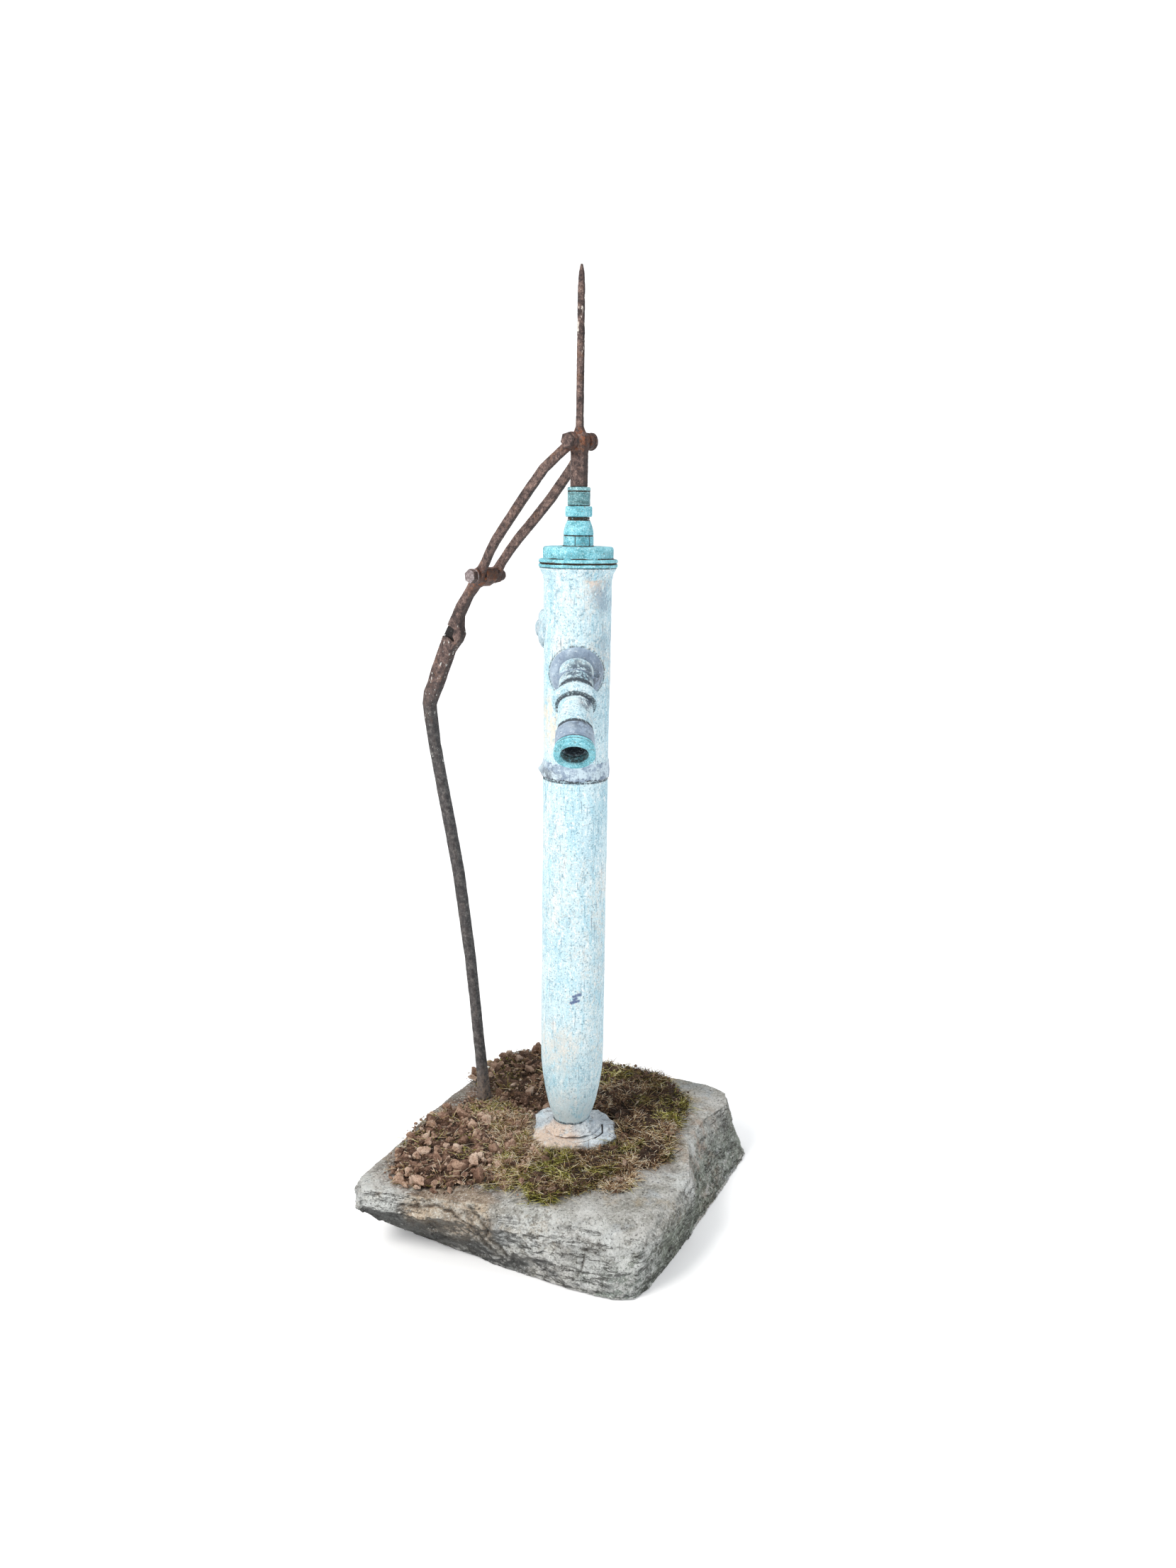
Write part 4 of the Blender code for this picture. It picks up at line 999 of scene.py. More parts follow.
def build_outlet_ring():
    """Turned brass: a stepped outside, a rounded lip and a screw thread inside."""
    profile = [(18.0, 29.4), (17.0, 30.4), (13.5, 31.2), (12.6, 30.7), (11.6, 30.9), (10.8, 31.9),
               (4.0, 32.3), (1.6, 32.0), (0.4, 31.2), (0.0, 30.2), (0.0, 24.4), (0.5, 23.4), (1.4, 22.8)]
    threads = 6
    for turn in range(threads):
        start = 2.0 + turn * 2.2
        profile += [(start, 22.6), (start + 1.1, 21.6)]
    profile += [(16.4, 22.6), (18.0, 22.6)]
    mesh = sculpt(spout_mesh(profile, 112, 1.5), (0.12, 120, 2))
    places, _ = arrays(mesh)
    mouth, heading = spout_at(0)
    offset = places - np.array(mouth)
    deep = -(offset @ np.array(heading)) / MM
    radius = np.linalg.norm(offset + np.outer(deep * MM, np.array(heading)), axis=1) / MM
    # Painted shade inside the mouth and in two grooves round the outside.
    inside = np.clip((24.2 - radius) / 1.2, 0, 1) * np.clip((deep - 0.6) / 5, 0, 1)
    groove = (radius > 29) * near_levels(deep, (12.2, 0.9), (18.0, 1.0))
    with_shade(mesh, np.maximum(0.4 * inside, 0.7 * groove))
    add_piece("outlet_ring_brass", mesh, verdigris("outlet_verdigris", 0.3), "outlet_ring", 50)


def build_collar():
    """The wiped collar: it starts as a saddle on the barrel and ends as a ring round the sloping pipe."""
    height = (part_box("spout_collar")[0].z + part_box("spout_collar")[1].z) / 2
    profile = [(43, -0.6), (43, 1.2), (42.2, 3.2), (40.6, 6.0), (38.2, 9.4), (35.6, 12.6), (33.2, 15.6),
               (31.2, 18.6), (29.8, 21.4), (28.4, 23.0), (26.6, 23.0), (25, 19), (24, 8), (24, -0.6)]
    sides, ending = 144, 23.0
    side = Vector((1, 0, 0))
    rings = []
    for distance, proud in refine(profile, 1.2):
        share = min(max(proud / ending, 0), 1)
        ease = share * share * (3 - 2 * share)
        point, heading = spout_at(0.172 - 0.018 * share)
        rise = side.cross(heading)
        ring = []
        for index in range(sides):
            angle = 2 * pi * index / sides
            across, lift = distance * cos(angle), distance * sin(angle)
            out = math.sqrt(BARREL_RADIUS ** 2 - across ** 2) + proud
            saddle = Vector((across, -out, height / MM + lift)) * MM
            sleeve = point + (side * across + rise * lift) * MM
            ring.append(saddle.lerp(sleeve, ease))
        rings.append(ring)
    mesh = sculpt(rings_mesh(rings), (0.8, 34, 2), (0.3, 110, 2))
    add_piece("spout_collar_solder", mesh, wiped("collar_solder", (0.036, -0.075, 0.935)), "spout_collar")


def build_delivery():
    """The capped side outlet: a lumpy collar, and the plug under a skin of solder."""
    middle = sum(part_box("delivery_plug"), Vector()) / 2
    axis = Vector((middle.x, middle.y, 0)).normalized()
    beside = UP.cross(axis)
    profile = [(32, -0.6), (32, 1.0), (31, 3.2), (28, 6.0), (24, 8.0), (19.5, 9.2), (16, 9.4), (14, 8.6),
               (12, 5), (12, -0.6)]
    rings = []
    sides = 120
    for distance, proud in refine(profile, 1.5):
        ring = []
        for index in range(sides):
            angle = 2 * pi * index / sides
            across, lift = distance * cos(angle), distance * sin(angle)
            out = math.sqrt(BARREL_RADIUS ** 2 - across ** 2) + proud
            ring.append((beside * across + axis * out) * MM + Vector((0, 0, middle.z + lift * MM)))
        rings.append(ring)
    mesh = sculpt(rings_mesh(rings), (1.0, 40, 2), (0.3, 120, 1))
    add_piece("delivery_collar_solder", mesh, patina("delivery_patina", 0.55), "delivery_collar")
    start = axis * (BARREL_RADIUS * MM) + Vector((0, 0, middle.z))
    cap = turned([(0.05, -2), (14.5, -2), (14.6, 9), (14.2, 11), (12.5, 12.6), (9, 13.2), (0.05, 13.4)],
                 72, 1.5, along(start, axis), closed=False)
    sculpt(cap, (0.5, 60, 2))
    add_piece("delivery_cap_solder", cap, patina("cap_patina", 0.6), ["delivery_plug", "delivery_stub"])


# ---------------------------------------------------------------- head and gland

def build_head():
    base, top = low("head_collar"), high("head_collar")
    profile = [(54.6, base - 1), (56.2, base), (56.8, base + 4), (58.2, base + 8), (60.4, base + 12),
               (62.2, base + 15.2), (62.8, top - 0.8), (62.2, top), (54.6, top)]
    mesh = sculpt(turned(profile, 144, 1.6), (0.5, 40, 2), (0.2, 130, 1))
    places, _ = arrays(mesh)
    # Painted shade along the collar's top edge, under the ring.
    with_shade(mesh, 0.6 * near_levels(places[:, 2] / MM, (top, 1.6)))
    add_piece("head_collar_lead", mesh, patina("head_patina"), "head_collar")
    base, top, outer = low("head_ring"), high("head_ring"), reach("head_ring")
    profile = [(46, base), (62.6, base), (63.6, base + 0.6), (outer, base + 1.6), (outer, top - 1.6),
               (63.6, top - 0.6), (62.8, top), (46, top)]
    mesh = sculpt(turned(profile, 144, 1.2), (0.18, 60, 2))
    brass = verdigris("head_verdigris", 0.3)
    places, _ = arrays(mesh)
    # Painted shade in patches along the ring's top edge, under the cover.
    patchy = 0.65 + 0.5 * lumps(places, 45, 2)
    with_shade(mesh, near_levels(places[:, 2] / MM, (top + 0.3, 1.0)) * np.clip(patchy, 0.3, 1))
    add_piece("head_ring_brass", mesh, brass, "head_ring")
    base, top, outer = low("head_cover"), high("head_cover"), reach("head_cover")
    profile = [(9.9, base), (62.8, base), (63.6, base + 0.6), (outer, base + 1.6), (outer, base + 3.8),
               (63.5, base + 5.2), (62, base + 5.9), (58.2, base + 6.3), (57.2, base + 7.0),
               (57.0, base + 8), (57.0, top - 4.2), (56.4, top - 2.2), (55.0, top - 0.8), (53, top - 0.2),
               (50, top), (30, top), (9.9, top)]
    mesh = sculpt(turned(profile, 160, 1.4), (0.22, 45, 2), (0.08, 200, 1))
    places, _ = arrays(mesh)
    patchy = np.clip(0.6 + 0.7 * lumps(places, 45, 2) + 4 * places[:, 0], 0.15, 1)
    radius = np.hypot(places[:, 0], places[:, 1]) / MM
    # Painted shade: along the cover's lower edge on the ring, in patches in the step above its rim, and round the
    # gland's foot on its top.
    dirt_and_shade = near_levels(places[:, 2] / MM, (base, 0.9)) * (radius > 61)
    dirt_and_shade = np.maximum(dirt_and_shade, near_levels(places[:, 2] / MM, (base + 6.6, 1.3)) * (radius < 59.5) * patchy)
    dirt_and_shade = np.maximum(dirt_and_shade, 0.8 * near_levels(radius, (reach("gland_body") + 1.5, 2.0))
                      * (places[:, 2] / MM > top - 1))
    with_shade(mesh, dirt_and_shade)
    add_piece("head_cover_brass", mesh, brass, "head_cover")


def build_gland():
    base, top, outer = low("gland_body"), high("gland_body"), reach("gland_body")
    profile = [(15, base), (outer + 1.2, base), (outer + 0.6, base + 1.0), (outer, base + 2.2),
               (outer - 0.1, base + 15.2), (outer - 1.0, base + 16.2), (outer - 1.0, base + 16.9),
               (outer - 0.2, base + 17.8), (outer - 0.4, base + 22), (outer - 1.3, base + 27),
               (outer - 2.7, base + 32), (outer - 4.4, base + 36.4), (outer - 5.6, base + 39.4),
               (outer - 6.8, top), (15, top)]
    mesh = turned(profile, 120, 1.0)
    places, normals = arrays(mesh)
    angle = np.arctan2(places[:, 1], places[:, 0])
    below = (places[:, 2] / MM < base + 15.5) & (np.hypot(places[:, 0], places[:, 1]) > 0.022)
    seams = np.zeros(len(places))
    for turn in range(6):
        gap = np.angle(np.exp(1j * (angle - radians(-102 + 60 * turn))))
        seams = np.maximum(seams, np.exp(-(gap / 0.028) ** 2) * below)
    push = -0.7 * MM * seams + 0.2 * MM * lumps(places, 90, 2)
    write_places(mesh, places + normals * push[:, None])
    # Painted shade in the six seams, in the groove and along the top and bottom edges.
    groove = near_levels(places[:, 2] / MM, (base + 16.5, 0.9), (top, 1.5), (base, 1.2))
    with_shade(mesh, np.maximum(0.7 * seams, groove * (np.hypot(places[:, 0], places[:, 1]) > 0.016)))
    brass = verdigris("gland_verdigris", 0.25)
    add_piece("gland_body_brass", mesh, brass, "gland_body")
    base, top = low("gland_collar"), high("gland_collar")
    mesh = turned([(15, base), (17, base), (17.6, base + 1), (17.6, top - 1), (17, top), (15, top)], 96, 1)
    places, _ = arrays(mesh)
    # Painted shade over the whole collar.
    with_shade(mesh, np.full(len(places), 0.6))
    add_piece("gland_collar_brass", mesh, verdigris("collar_verdigris", 0.9), "gland_collar")
    build_gland_nut(brass)
    build_gland_sleeve()


def build_gland_nut(material):
    """Eight shallow flats with rounded corners and a bevelled rim."""
    base, top = low("gland_nut"), high("gland_nut")
    sides, inner, rim, across = 160, 15, 20.4, 22.6
    rings = []
    for share, lift in ((0.0, 0.0), (0.35, 0.4), (0.8, 1.2), (1.0, 2.6), (1.0, 8), (1.0, top - base - 2.6),
                        (0.8, top - base - 1.2), (0.35, top - base - 0.4), (0.0, top - base)):
        def radius(angle):
            flat = 1 / cos((angle + pi / 8) % (pi / 4) - pi / 8)
            return rim + (across * (0.35 + 0.65 * flat) - rim - 1.0) * share
        rings.append(circle(radius, base + lift, sides))
    rings += [circle(inner, top, sides), circle(inner, base, sides)]
    mesh = sculpt(rings_mesh(rings), (0.2, 120, 2))
    add_piece("gland_nut_brass", mesh, material, "gland_nut")


def build_gland_sleeve():
    """The follower: a fine worn thread outside, and a key slot across its top."""
    base, top, outer = high("gland_nut"), high("gland_sleeve"), reach("gland_sleeve")
    profile = [(14.2, base - 30), (14.2, base + 0.3), (outer - 1.2, base + 0.3)]
    height = base + 1.2
    while height < top - 7.5:
        profile += [(outer - 0.75, height), (outer, height + 0.75)]
        height += 1.5
    profile += [(outer - 0.6, top - 6.6), (outer + 0.1, top - 5.8), (outer + 0.1, top - 1.6),
                (outer - 1.2, top - 0.2), (outer - 2.2, top), (10.4, top), (9.9, top - 0.6),
                (9.9, base - 30)]
    mesh = turned(profile, 120, 0.8)
    places, _ = arrays(mesh)
    radius = np.hypot(places[:, 0], places[:, 1]) / MM
    # Painted shade in the thread's grooves, in the groove below the top, at the foot on the nut and inside the
    # top.
    thread = 0.45 * (radius < outer - 0.4) * (radius > outer - 1.0)
    rim = np.maximum(near_levels(places[:, 2] / MM, (top - 6.6, 0.9), (base + 0.4, 1.2)),
                     (radius < 14) * (places[:, 2] / MM > top - 2) * 0.9)
    with_shade(mesh, np.maximum(thread, rim))
    sculpt(mesh, (0.15, 110, 2))
    brass = verdigris("sleeve_verdigris", 0.6, 0.6)
    piece = add_piece("gland_sleeve_brass", mesh, brass, "gland_sleeve", 50)
    tool = turned([(0.01, 0), (2.4, 0), (2.4, 50), (0.01, 50)], 4, 60,
                  along(Vector((0.004, -0.0045, (top - 0.6) * MM)), Vector((1, -0.75, 0))), closed=False)
    bore_through(piece, tool)


# ---------------------------------------------------------------- forged iron

def forged(name, nodes, material, voxel, smooth=2, deep=0.22, shade=None, shadow_block=None):
    """A forging: the CAD solid's shape with slightly worn edges, hammer marks and rust pits."""
    mesh = remeshed(nodes, voxel, smooth)
    places, normals = arrays(mesh)
    pits = np.clip(lumps(places, 260, 2) - 0.35, 0, 1)
    push = deep * MM * lumps(places, 50, 2) + 0.10 * MM * lumps(places, 420, 1) - 0.35 * MM * pits
    write_places(mesh, places + normals * push[:, None])
    # The dark block of painted shadow joins the forging's mesh.
    if shadow_block:
        mesh = joined([mesh, shadow_block])
        places, _ = arrays(mesh)
    if shade:
        with_shade(mesh, shade(places))
    return add_piece(name, mesh, material, nodes, 60)


def notch_shadow_block():
    """A dark block painted as shadow at the bottom of the handle's pocket. Corners: (distance from the barrel's
    axis, height).
    """
    corners = ((290.5, 997.6), (274.5, 991.2), (280.4, 979.0), (275.6, 972.0), (277.2, 969.5),
               (289.5, 976.4), (303.6, 978.4), (302.6, 982.4), (295.2, 994.3), (291.6, 998.8))
    return rings_mesh([[(OUTWARDS * distance + NEARWARD * depth + UP * height) * MM
                        for distance, height in corners] for depth in (-3.0, 4.2)], closed=False)


def notch_shade(places):
    """Full shade inside the pocket in the handle's near face."""
    distance, height, depth = (places @ np.array(way) / MM for way in (OUTWARDS, UP, NEARWARD))
    pocket = (distance > 271) & (distance < 309) & (height > 966) & (height < 1004)
    return np.where(pocket & (depth < 7.0) & (depth > -3.6), 1.0, 0.0)


def pin_matrix(pin):
    return along(pin, NEARWARD)


def furthest(node, pin, way):
    """How far a node reaches from a pin along a way, in millimetres."""
    return max((vertex.co - pin).dot(way) for vertex in NODES[node].data.vertices) / MM


def build_pins(material):
    """Two pins: a six-sided head on the near side, collars, and a hammered end on the far side."""
    for level, pin, turn in (("upper", UPPER_PIN, 12), ("lower", LOWER_PIN, 38)):
        tip = furthest(level + "_pin", pin, NEARWARD)
        collar = furthest(level + "_collar_near", pin, NEARWARD)
        head = collar + 0.3
        rings = []
        for share, depth in ((0.90, head), (1.0, head + 0.8), (1.0, tip - 1.9), (0.97, tip - 0.9),
                             (0.90, tip - 0.3), (0.84, tip), (0.40, tip - 0.3), (0.02, tip - 0.3)):
            def radius(angle):
                flat = cos(pi / 6) / cos(angle % (pi / 3) - pi / 6)
                return 12.6 * share * (flat if share > 0.7 else 0.93)
            rings.append(circle(radius, depth, 96))
        mesh = rings_mesh(rings, closed=False)
        mesh.transform(pin_matrix(pin) @ Matrix.Rotation(radians(turn), 4, 'Z'))
        shank = turned([(0.01, -tip), (7, -tip), (7, head + 0.1), (0.01, head + 0.1)], 48, 6,
                       pin_matrix(pin), closed=False)
        sculpt(mesh, (0.3, 110, 2))
        add_piece(level + "_pin_iron", joined([mesh, shank]), material, level + "_pin", 30)
        start, middle, end = 24.2, (24.2 + collar) / 2, collar
        for side, sign in (("near", 1), ("far", -1)):
            mesh = turned([(7.4, start), (11.2, start), (12.2, start + 0.5), (12.5, middle),
                           (12.2, end - 0.5), (11.2, end), (7.4, end)], 60, 1.2, pin_matrix(pin)
                          @ Matrix.Scale(sign, 4, UP))
            outward(mesh)
            sculpt(mesh, (0.35, 120, 2))
            node = level + "_collar_" + side
            add_piece(node + "_iron", mesh, material, node, 60)
        node = level + "_pin_end"
        offsets = [vertex.co - pin for vertex in NODES[node].data.vertices]
        size = max((offset - offset.dot(NEARWARD) * NEARWARD).length for offset in offsets) / MM
        start, end = collar + 0.2, tip + 0.3
        dome = [(0.05, start), (size - 1.5, start), (size, start + 1.6), (size, end - 4.5),
                (size * 0.93, end - 2.6), (size * 0.78, end - 1.0), (size * 0.5, end - 0.2), (0.05, end)]
        mesh = turned(dome, 72, 1.4, pin_matrix(pin) @ Matrix.Scale(-1, 4, UP), closed=False)
        outward(mesh)
        sculpt(mesh, (0.4, 90, 2))
        add_piece(node + "_iron", mesh, material, node, 60)


def build_iron():
    joint_iron = iron_joint("joint_iron")
    strap_iron = rusted("strap_iron", ((UPPER_PIN, 0.012, 0.036), (LOWER_PIN, 0.012, 0.04))).material
    forged("strap_near_iron", "link_strap_near", strap_iron, 0.9 * MM)
    forged("strap_far_iron", "link_strap_far", strap_iron, 0.9 * MM)
    forged("rod_head_iron", "rod_head", iron_rod("rod_iron"), 0.8 * MM)
    forged("handle_iron", "handle", iron_handle("handle_iron"), 0.9 * MM, 1, 0.30, notch_shade,
           notch_shadow_block())
    build_pins(joint_iron)


# ---------------------------------------------------------------- stone

def chipped(places, scale, slope, shift):
    """Broken rock: every cell of a Voronoi pattern is a flat facet tilted its own way. About -1 to 1."""
    result = np.zeros(len(places))
    scaled = places * scale + np.asarray(shift)
    for index, point in enumerate(scaled):
        vector = Vector(point)
        centre = noise.voronoi(vector)[1][0]
        tilt = noise.noise_vector(centre * 5.3)
        result[index] = (vector - centre).dot(tilt) * slope + 0.35 * tilt.x
    return result


def build_stone():
    """The block: worn top edges, chipped sides and a few long cracks, cut inwards from the CAD solid."""
    mesh = remeshed("stone_base", 4.5 * MM, 5)
    mesh = applied(mesh, ('SUBSURF', {"levels": 1, "render_levels": 1}))
    places, normals = arrays(mesh)
    steep = np.clip((0.90 - np.abs(normals[:, 2])) * 4, 0, 1)
    covered = np.clip((0.235 - np.hypot(places[:, 0] + 0.02, places[:, 1] - 0.01)) / 0.05, 0, 1)
    rough = lumps(places, 42, 3)
    fine = lumps(places, 160, 2)
    coarse_chips = chipped(places, 13, 1.6, (4, 1, 6))
    fine_chips = chipped(places, 36, 1.6, (1, 8, 2))
    small_chips = chipped(places, 80, 1.6, (6, 2, 9))
    push = -steep * (4.4 - 4.0 * coarse_chips - 2.6 * fine_chips - 1.2 * small_chips + 1.5 * rough)
    push = np.minimum(push, 0.6) + 0.45 * fine * steep
    open_top = (1 - steep) * (1 - 0.75 * covered)
    push -= open_top * (1.2 + 1.0 * lumps(places, 15, 2) - 1.1 * fine_chips - 0.6 * small_chips + 0.5
                        * rough)
    push -= (1 - steep) * 0.25 * fine
    crack = np.zeros(len(places))
    waver = places / MM + np.stack([lumps(places, 70, 2, shift)
                                    for shift in ((1, 0, 0), (0, 5, 0), (0, 0, 9))], 1) * 3
    for path, width, deep in CRACKS:
        share = np.exp(-(segment_distance(waver, path) / width) ** 2)
        crack = np.maximum(crack, share)
        push -= deep * share
    places = places + normals * (push * MM)[:, None]
    places[:, 2] = np.clip(places[:, 2], 0.0, STONE_TOP)
    write_places(mesh, places)
    # Painted shade in the cracks.
    with_shade(mesh, crack)
    add_piece("stone_block", mesh, sandstone("sandstone"), "stone_base", 70)


# ---------------------------------------------------------------- soil and moss

def cover_points(node, count, edge=0.0, spread=0.0):
    """Random points on a ground cover solid's top, with a share of them round its ragged edge instead."""
    mesh = NODES[node].data
    mesh.calc_loop_triangles()
    corners = np.array([[mesh.vertices[index].co for index in triangle.vertices]
                        for triangle in mesh.loop_triangles])
    cross = np.cross(corners[:, 1] - corners[:, 0], corners[:, 2] - corners[:, 0])
    area = np.linalg.norm(cross, axis=1) / 2
    up = cross[:, 2] / np.maximum(2 * area, 1e-12)
    middle = np.where(up > 0.12, area, 0)
    sides = np.where(np.abs(up) < 0.9, area, 0)
    weight = (1 - edge) * middle / middle.sum() + edge * sides / sides.sum()
    chosen = RNG.choice(len(area), count, p=weight)
    first, second = RNG.random(count), RNG.random(count)
    over = first + second > 1
    first[over], second[over] = 1 - first[over], 1 - second[over]
    triangle = corners[chosen]
    points = (triangle[:, 0] + first[:, None] * (triangle[:, 1] - triangle[:, 0])
              + second[:, None] * (triangle[:, 2] - triangle[:, 0]))
    points[:, :2] += RNG.normal(size=(count, 2)) * spread
    return points


def sweep_clear(places):
    """How far points are from the strip that the handle's foot sweeps as it swings outwards, in metres."""
    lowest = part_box("handle")[0].z + 4 * MM
    vertices = NODES["handle"].data.vertices
    foot = np.array([vertex.co for vertex in vertices if vertex.co.z < lowest]).mean(axis=0)
    away = places[:, :2] - foot[:2]
    ahead = away @ np.array(OUTWARDS[:2])
    across = np.abs(away @ np.array(NEARWARD[:2]))
    return np.where(ahead > 0, across, np.hypot(across, ahead))


def keep_sweep_clear(places, sizes):
    """Shrink what lies in the handle's way to thin crumbs on the stone."""
    blocked = (sweep_clear(places) < 0.0125 + 1.2 * sizes) & (places[:, 2] < STONE_TOP + 0.03)
    sizes[blocked] = 0.7 * MM
    places[blocked, 2] = STONE_TOP + 0.3 * MM
    return places


def shape_of(bm):
    """A finished bmesh as arrays of vertices and faces."""
    vertices = np.array([vert.co for vert in bm.verts])
    faces = np.array([[vert.index for vert in face.verts] for face in bm.faces])
    bm.free()
    return vertices, faces


def clod_shapes(count):
    """A few angular broken lumps of unit size, to be scattered."""
    shapes = []
    for _ in range(count):
        bm = bmesh.new()
        bmesh.ops.create_icosphere(bm, subdivisions=3, radius=1.0)
        seed = Vector(RNG.random(3) * 50)
        cuts = [(Vector(RNG.normal(size=3)).normalized(), 0.42 + 0.30 * RNG.random()) for _ in range(9)]
        for vert in bm.verts:
            vert.co *= 1 + 0.40 * noise.noise(vert.co * 1.3 + seed)
            for way, level in cuts:
                over = vert.co.dot(way) - level
                if over > 0:
                    vert.co -= way * over * 0.94
            vert.co *= 1 + 0.16 * noise.noise(vert.co * 4.5 + seed) + 0.08 * noise.noise(vert.co * 10
                                                                                         + seed)
        vertices, faces = shape_of(bm)
        shapes.append((vertices * 1.25, faces))
    return shapes


def pebble_shapes(count):
    """Small angular crumbs of unit size."""
    shapes = []
    for _ in range(count):
        bm = bmesh.new()
        bmesh.ops.create_icosphere(bm, subdivisions=1, radius=1.0)
        for vert in bm.verts:
            vert.co *= 0.75 + 0.5 * RNG.random()
        shapes.append(shape_of(bm))
    return shapes


def random_turns(count):
    """Random rotation matrices."""
    quaternions = RNG.normal(size=(count, 4))
    quaternions /= np.linalg.norm(quaternions, axis=1)[:, None]
    w, x, y, z = quaternions.T
    return np.stack([np.stack([1 - 2 * (y * y + z * z), 2 * (x * y - z * w), 2 * (x * z + y * w)], 1),
                     np.stack([2 * (x * y + z * w), 1 - 2 * (x * x + z * z), 2 * (y * z - x * w)], 1),
                     np.stack([2 * (x * z - y * w), 2 * (y * z + x * w), 1 - 2 * (x * x + y * y)], 1)], 1)


def scatter_clods(places, sizes, tones):
    """Angular lumps: large ones finely made, small ones from the same shapes simplified."""
    shapes = clod_shapes(14)
    pebbles = pebble_shapes(14)
    turns = random_turns(len(places))
    vertices, faces, values = [], [], []
    start = 0
    for index, place in enumerate(places):
        family = shapes if sizes[index] > 4.2 * MM else pebbles
        shape, loops = family[index % len(family)]
        squash = np.array([1.0, 0.65 + 0.35 * RNG.random(), 0.45 + 0.35 * RNG.random()])
        moved = (shape * squash * sizes[index]) @ turns[index].T + place
        moved[:, 2] = np.maximum(moved[:, 2], STONE_TOP + 0.0001)
        vertices.append(moved)
        faces.append(loops + start)
        # Each clod is darker where its surface lies nearer its middle, in dents and on flat breaks, and lighter on
        # its bumps: painted shade and painted light.
        hollow = np.linalg.norm(shape, axis=1)
        values.append(tones[index] + 0.35 * (hollow - hollow.mean()))
        start += len(moved)
    mesh = mesh_from(np.vstack(vertices), [tuple(map(int, face)) for face in np.vstack(faces)])
    return with_values(mesh, "tone", np.clip(np.concatenate(values), 0.03, 1.3))


def scatter_fibres(roots, lengths, tones, greens=0.0, width=0.0006, rise=0.45, curl=0.7):
    """Curved tapering strands, three-sided, of four runs each, dark at the root and pale at the tip."""
    count = len(roots)
    heading = RNG.normal(size=(count, 3))
    heading[:, 2] = np.abs(heading[:, 2]) * rise + 0.15
    heading /= np.linalg.norm(heading, axis=1)[:, None]
    bend = RNG.normal(size=(count, 3)) * curl
    bend[:, 2] = -np.abs(bend[:, 2]) * 0.5
    side = np.cross(heading, RNG.normal(size=(count, 3)))
    side /= np.linalg.norm(side, axis=1)[:, None]
    other = np.cross(heading, side)
    thick = width * (0.7 + 0.6 * RNG.random(count))
    stations = (0.0, 0.3, 0.6, 0.85, 1.0)
    per = len(stations) * 3
    vertices = np.zeros((count, per, 3))
    values = np.zeros((count, per))
    for row, share in enumerate(stations):
        centre = roots + (heading * share + bend * share ** 2 * 0.7) * lengths[:, None]
        centre[:, 2] = np.maximum(centre[:, 2], STONE_TOP + 0.0013)
        radius = (thick * (1.0 - 0.75 * share))[:, None]
        for index in range(3):
            angle = 2 * pi * index / 3
            vertices[:, row * 3 + index] = centre + (side * cos(angle) + other * sin(angle)) * radius
            values[:, row * 3 + index] = tones * (0.25 + 0.95 * share)
    pattern = []
    for row in range(len(stations) - 1):
        for index in range(3):
            after = (index + 1) % 3
            pattern.append((row * 3 + index, row * 3 + after, row * 3 + 3 + after, row * 3 + 3 + index))
    offsets = (np.arange(count) * per)[:, None, None]
    quads = (np.array(pattern)[None] + offsets).reshape(-1, 4)
    last = (len(stations) - 1) * 3
    caps = (np.array([(0, 2, 1), (last, last + 1, last + 2)])[None] + offsets).reshape(-1, 3)
    faces = [tuple(map(int, face)) for face in quads] + [tuple(map(int, face)) for face in caps]
    mesh = with_values(mesh_from(vertices.reshape(-1, 3), faces), "tone", values.ravel())
    return with_values(mesh, "green", np.repeat(np.broadcast_to(greens, count), per))


def mound(node, tone):
    """A ground cover solid with a lumpy top and a ragged edge."""
    mesh = remeshed(node, 3 * MM, 6)
    places, normals = arrays(mesh)
    ragged = lumps(places, 60, 3)
    heaps = lumps(places, 24, 2, (4, 4, 4))
    flat = 1 - np.abs(normals[:, 2])
    push = 2.6 * MM * (ragged + 1.2 * (heaps - 0.25)) + flat * 7.0 * MM * (lumps(places, 34, 2) - 0.4)
    places = places + normals * push[:, None]
    places[:, 2] -= flat * MM
    places[:, 2] = np.maximum(places[:, 2], STONE_TOP + 0.0003)
    places[:, 2] -= (places[:, 2] < STONE_TOP + 0.0008) * 0.0015
    write_places(mesh, places)
    return with_values(mesh, "tone", tone + 0.22 * ragged)


def strewn_strands(node, count, spread, tone, wide, green, fibre):
    """Strands in tufts over one mound: where a tuft is thin, the dark soil shows through."""
    roots = cover_points(node, int(count * 1.7), 0.30, spread)
    tuft = lumps(roots, 48, 2, (9, 1, 5)) + 0.25 * RNG.normal(size=len(roots))
    roots = roots[np.argsort(-tuft)[:count]]
    roots = roots[np.argsort(roots[:, 0])]
    roots[:, 2] -= MM
    count = len(roots)
    lengths = (6 + 13 * RNG.random(count) ** 1.4) * MM
    clear = sweep_clear(roots)
    lengths = np.where(clear < 0.034, np.minimum(lengths, np.clip(clear - 0.012, 0.001, 1) * 0.9), lengths)
    clump = lumps(roots, 36, 2) * 0.30 + lumps(roots, 14, 1, (3, 3, 3)) * 0.15
    tones = np.clip(tone + clump + wide * RNG.normal(size=count), 0.08, 1.15)
    from_barrel = np.hypot(roots[:, 0], roots[:, 1])
    patch = lumps(roots, 20, 2, (6, 2, 8)) * 1.1 + (from_barrel - 0.15) * 3.0
    greens = np.clip(green + patch + 0.25 * RNG.normal(size=count), 0, 1)
    add_extra(node + "_strands", scatter_fibres(roots, lengths, tones, greens), fibre, node, 80)


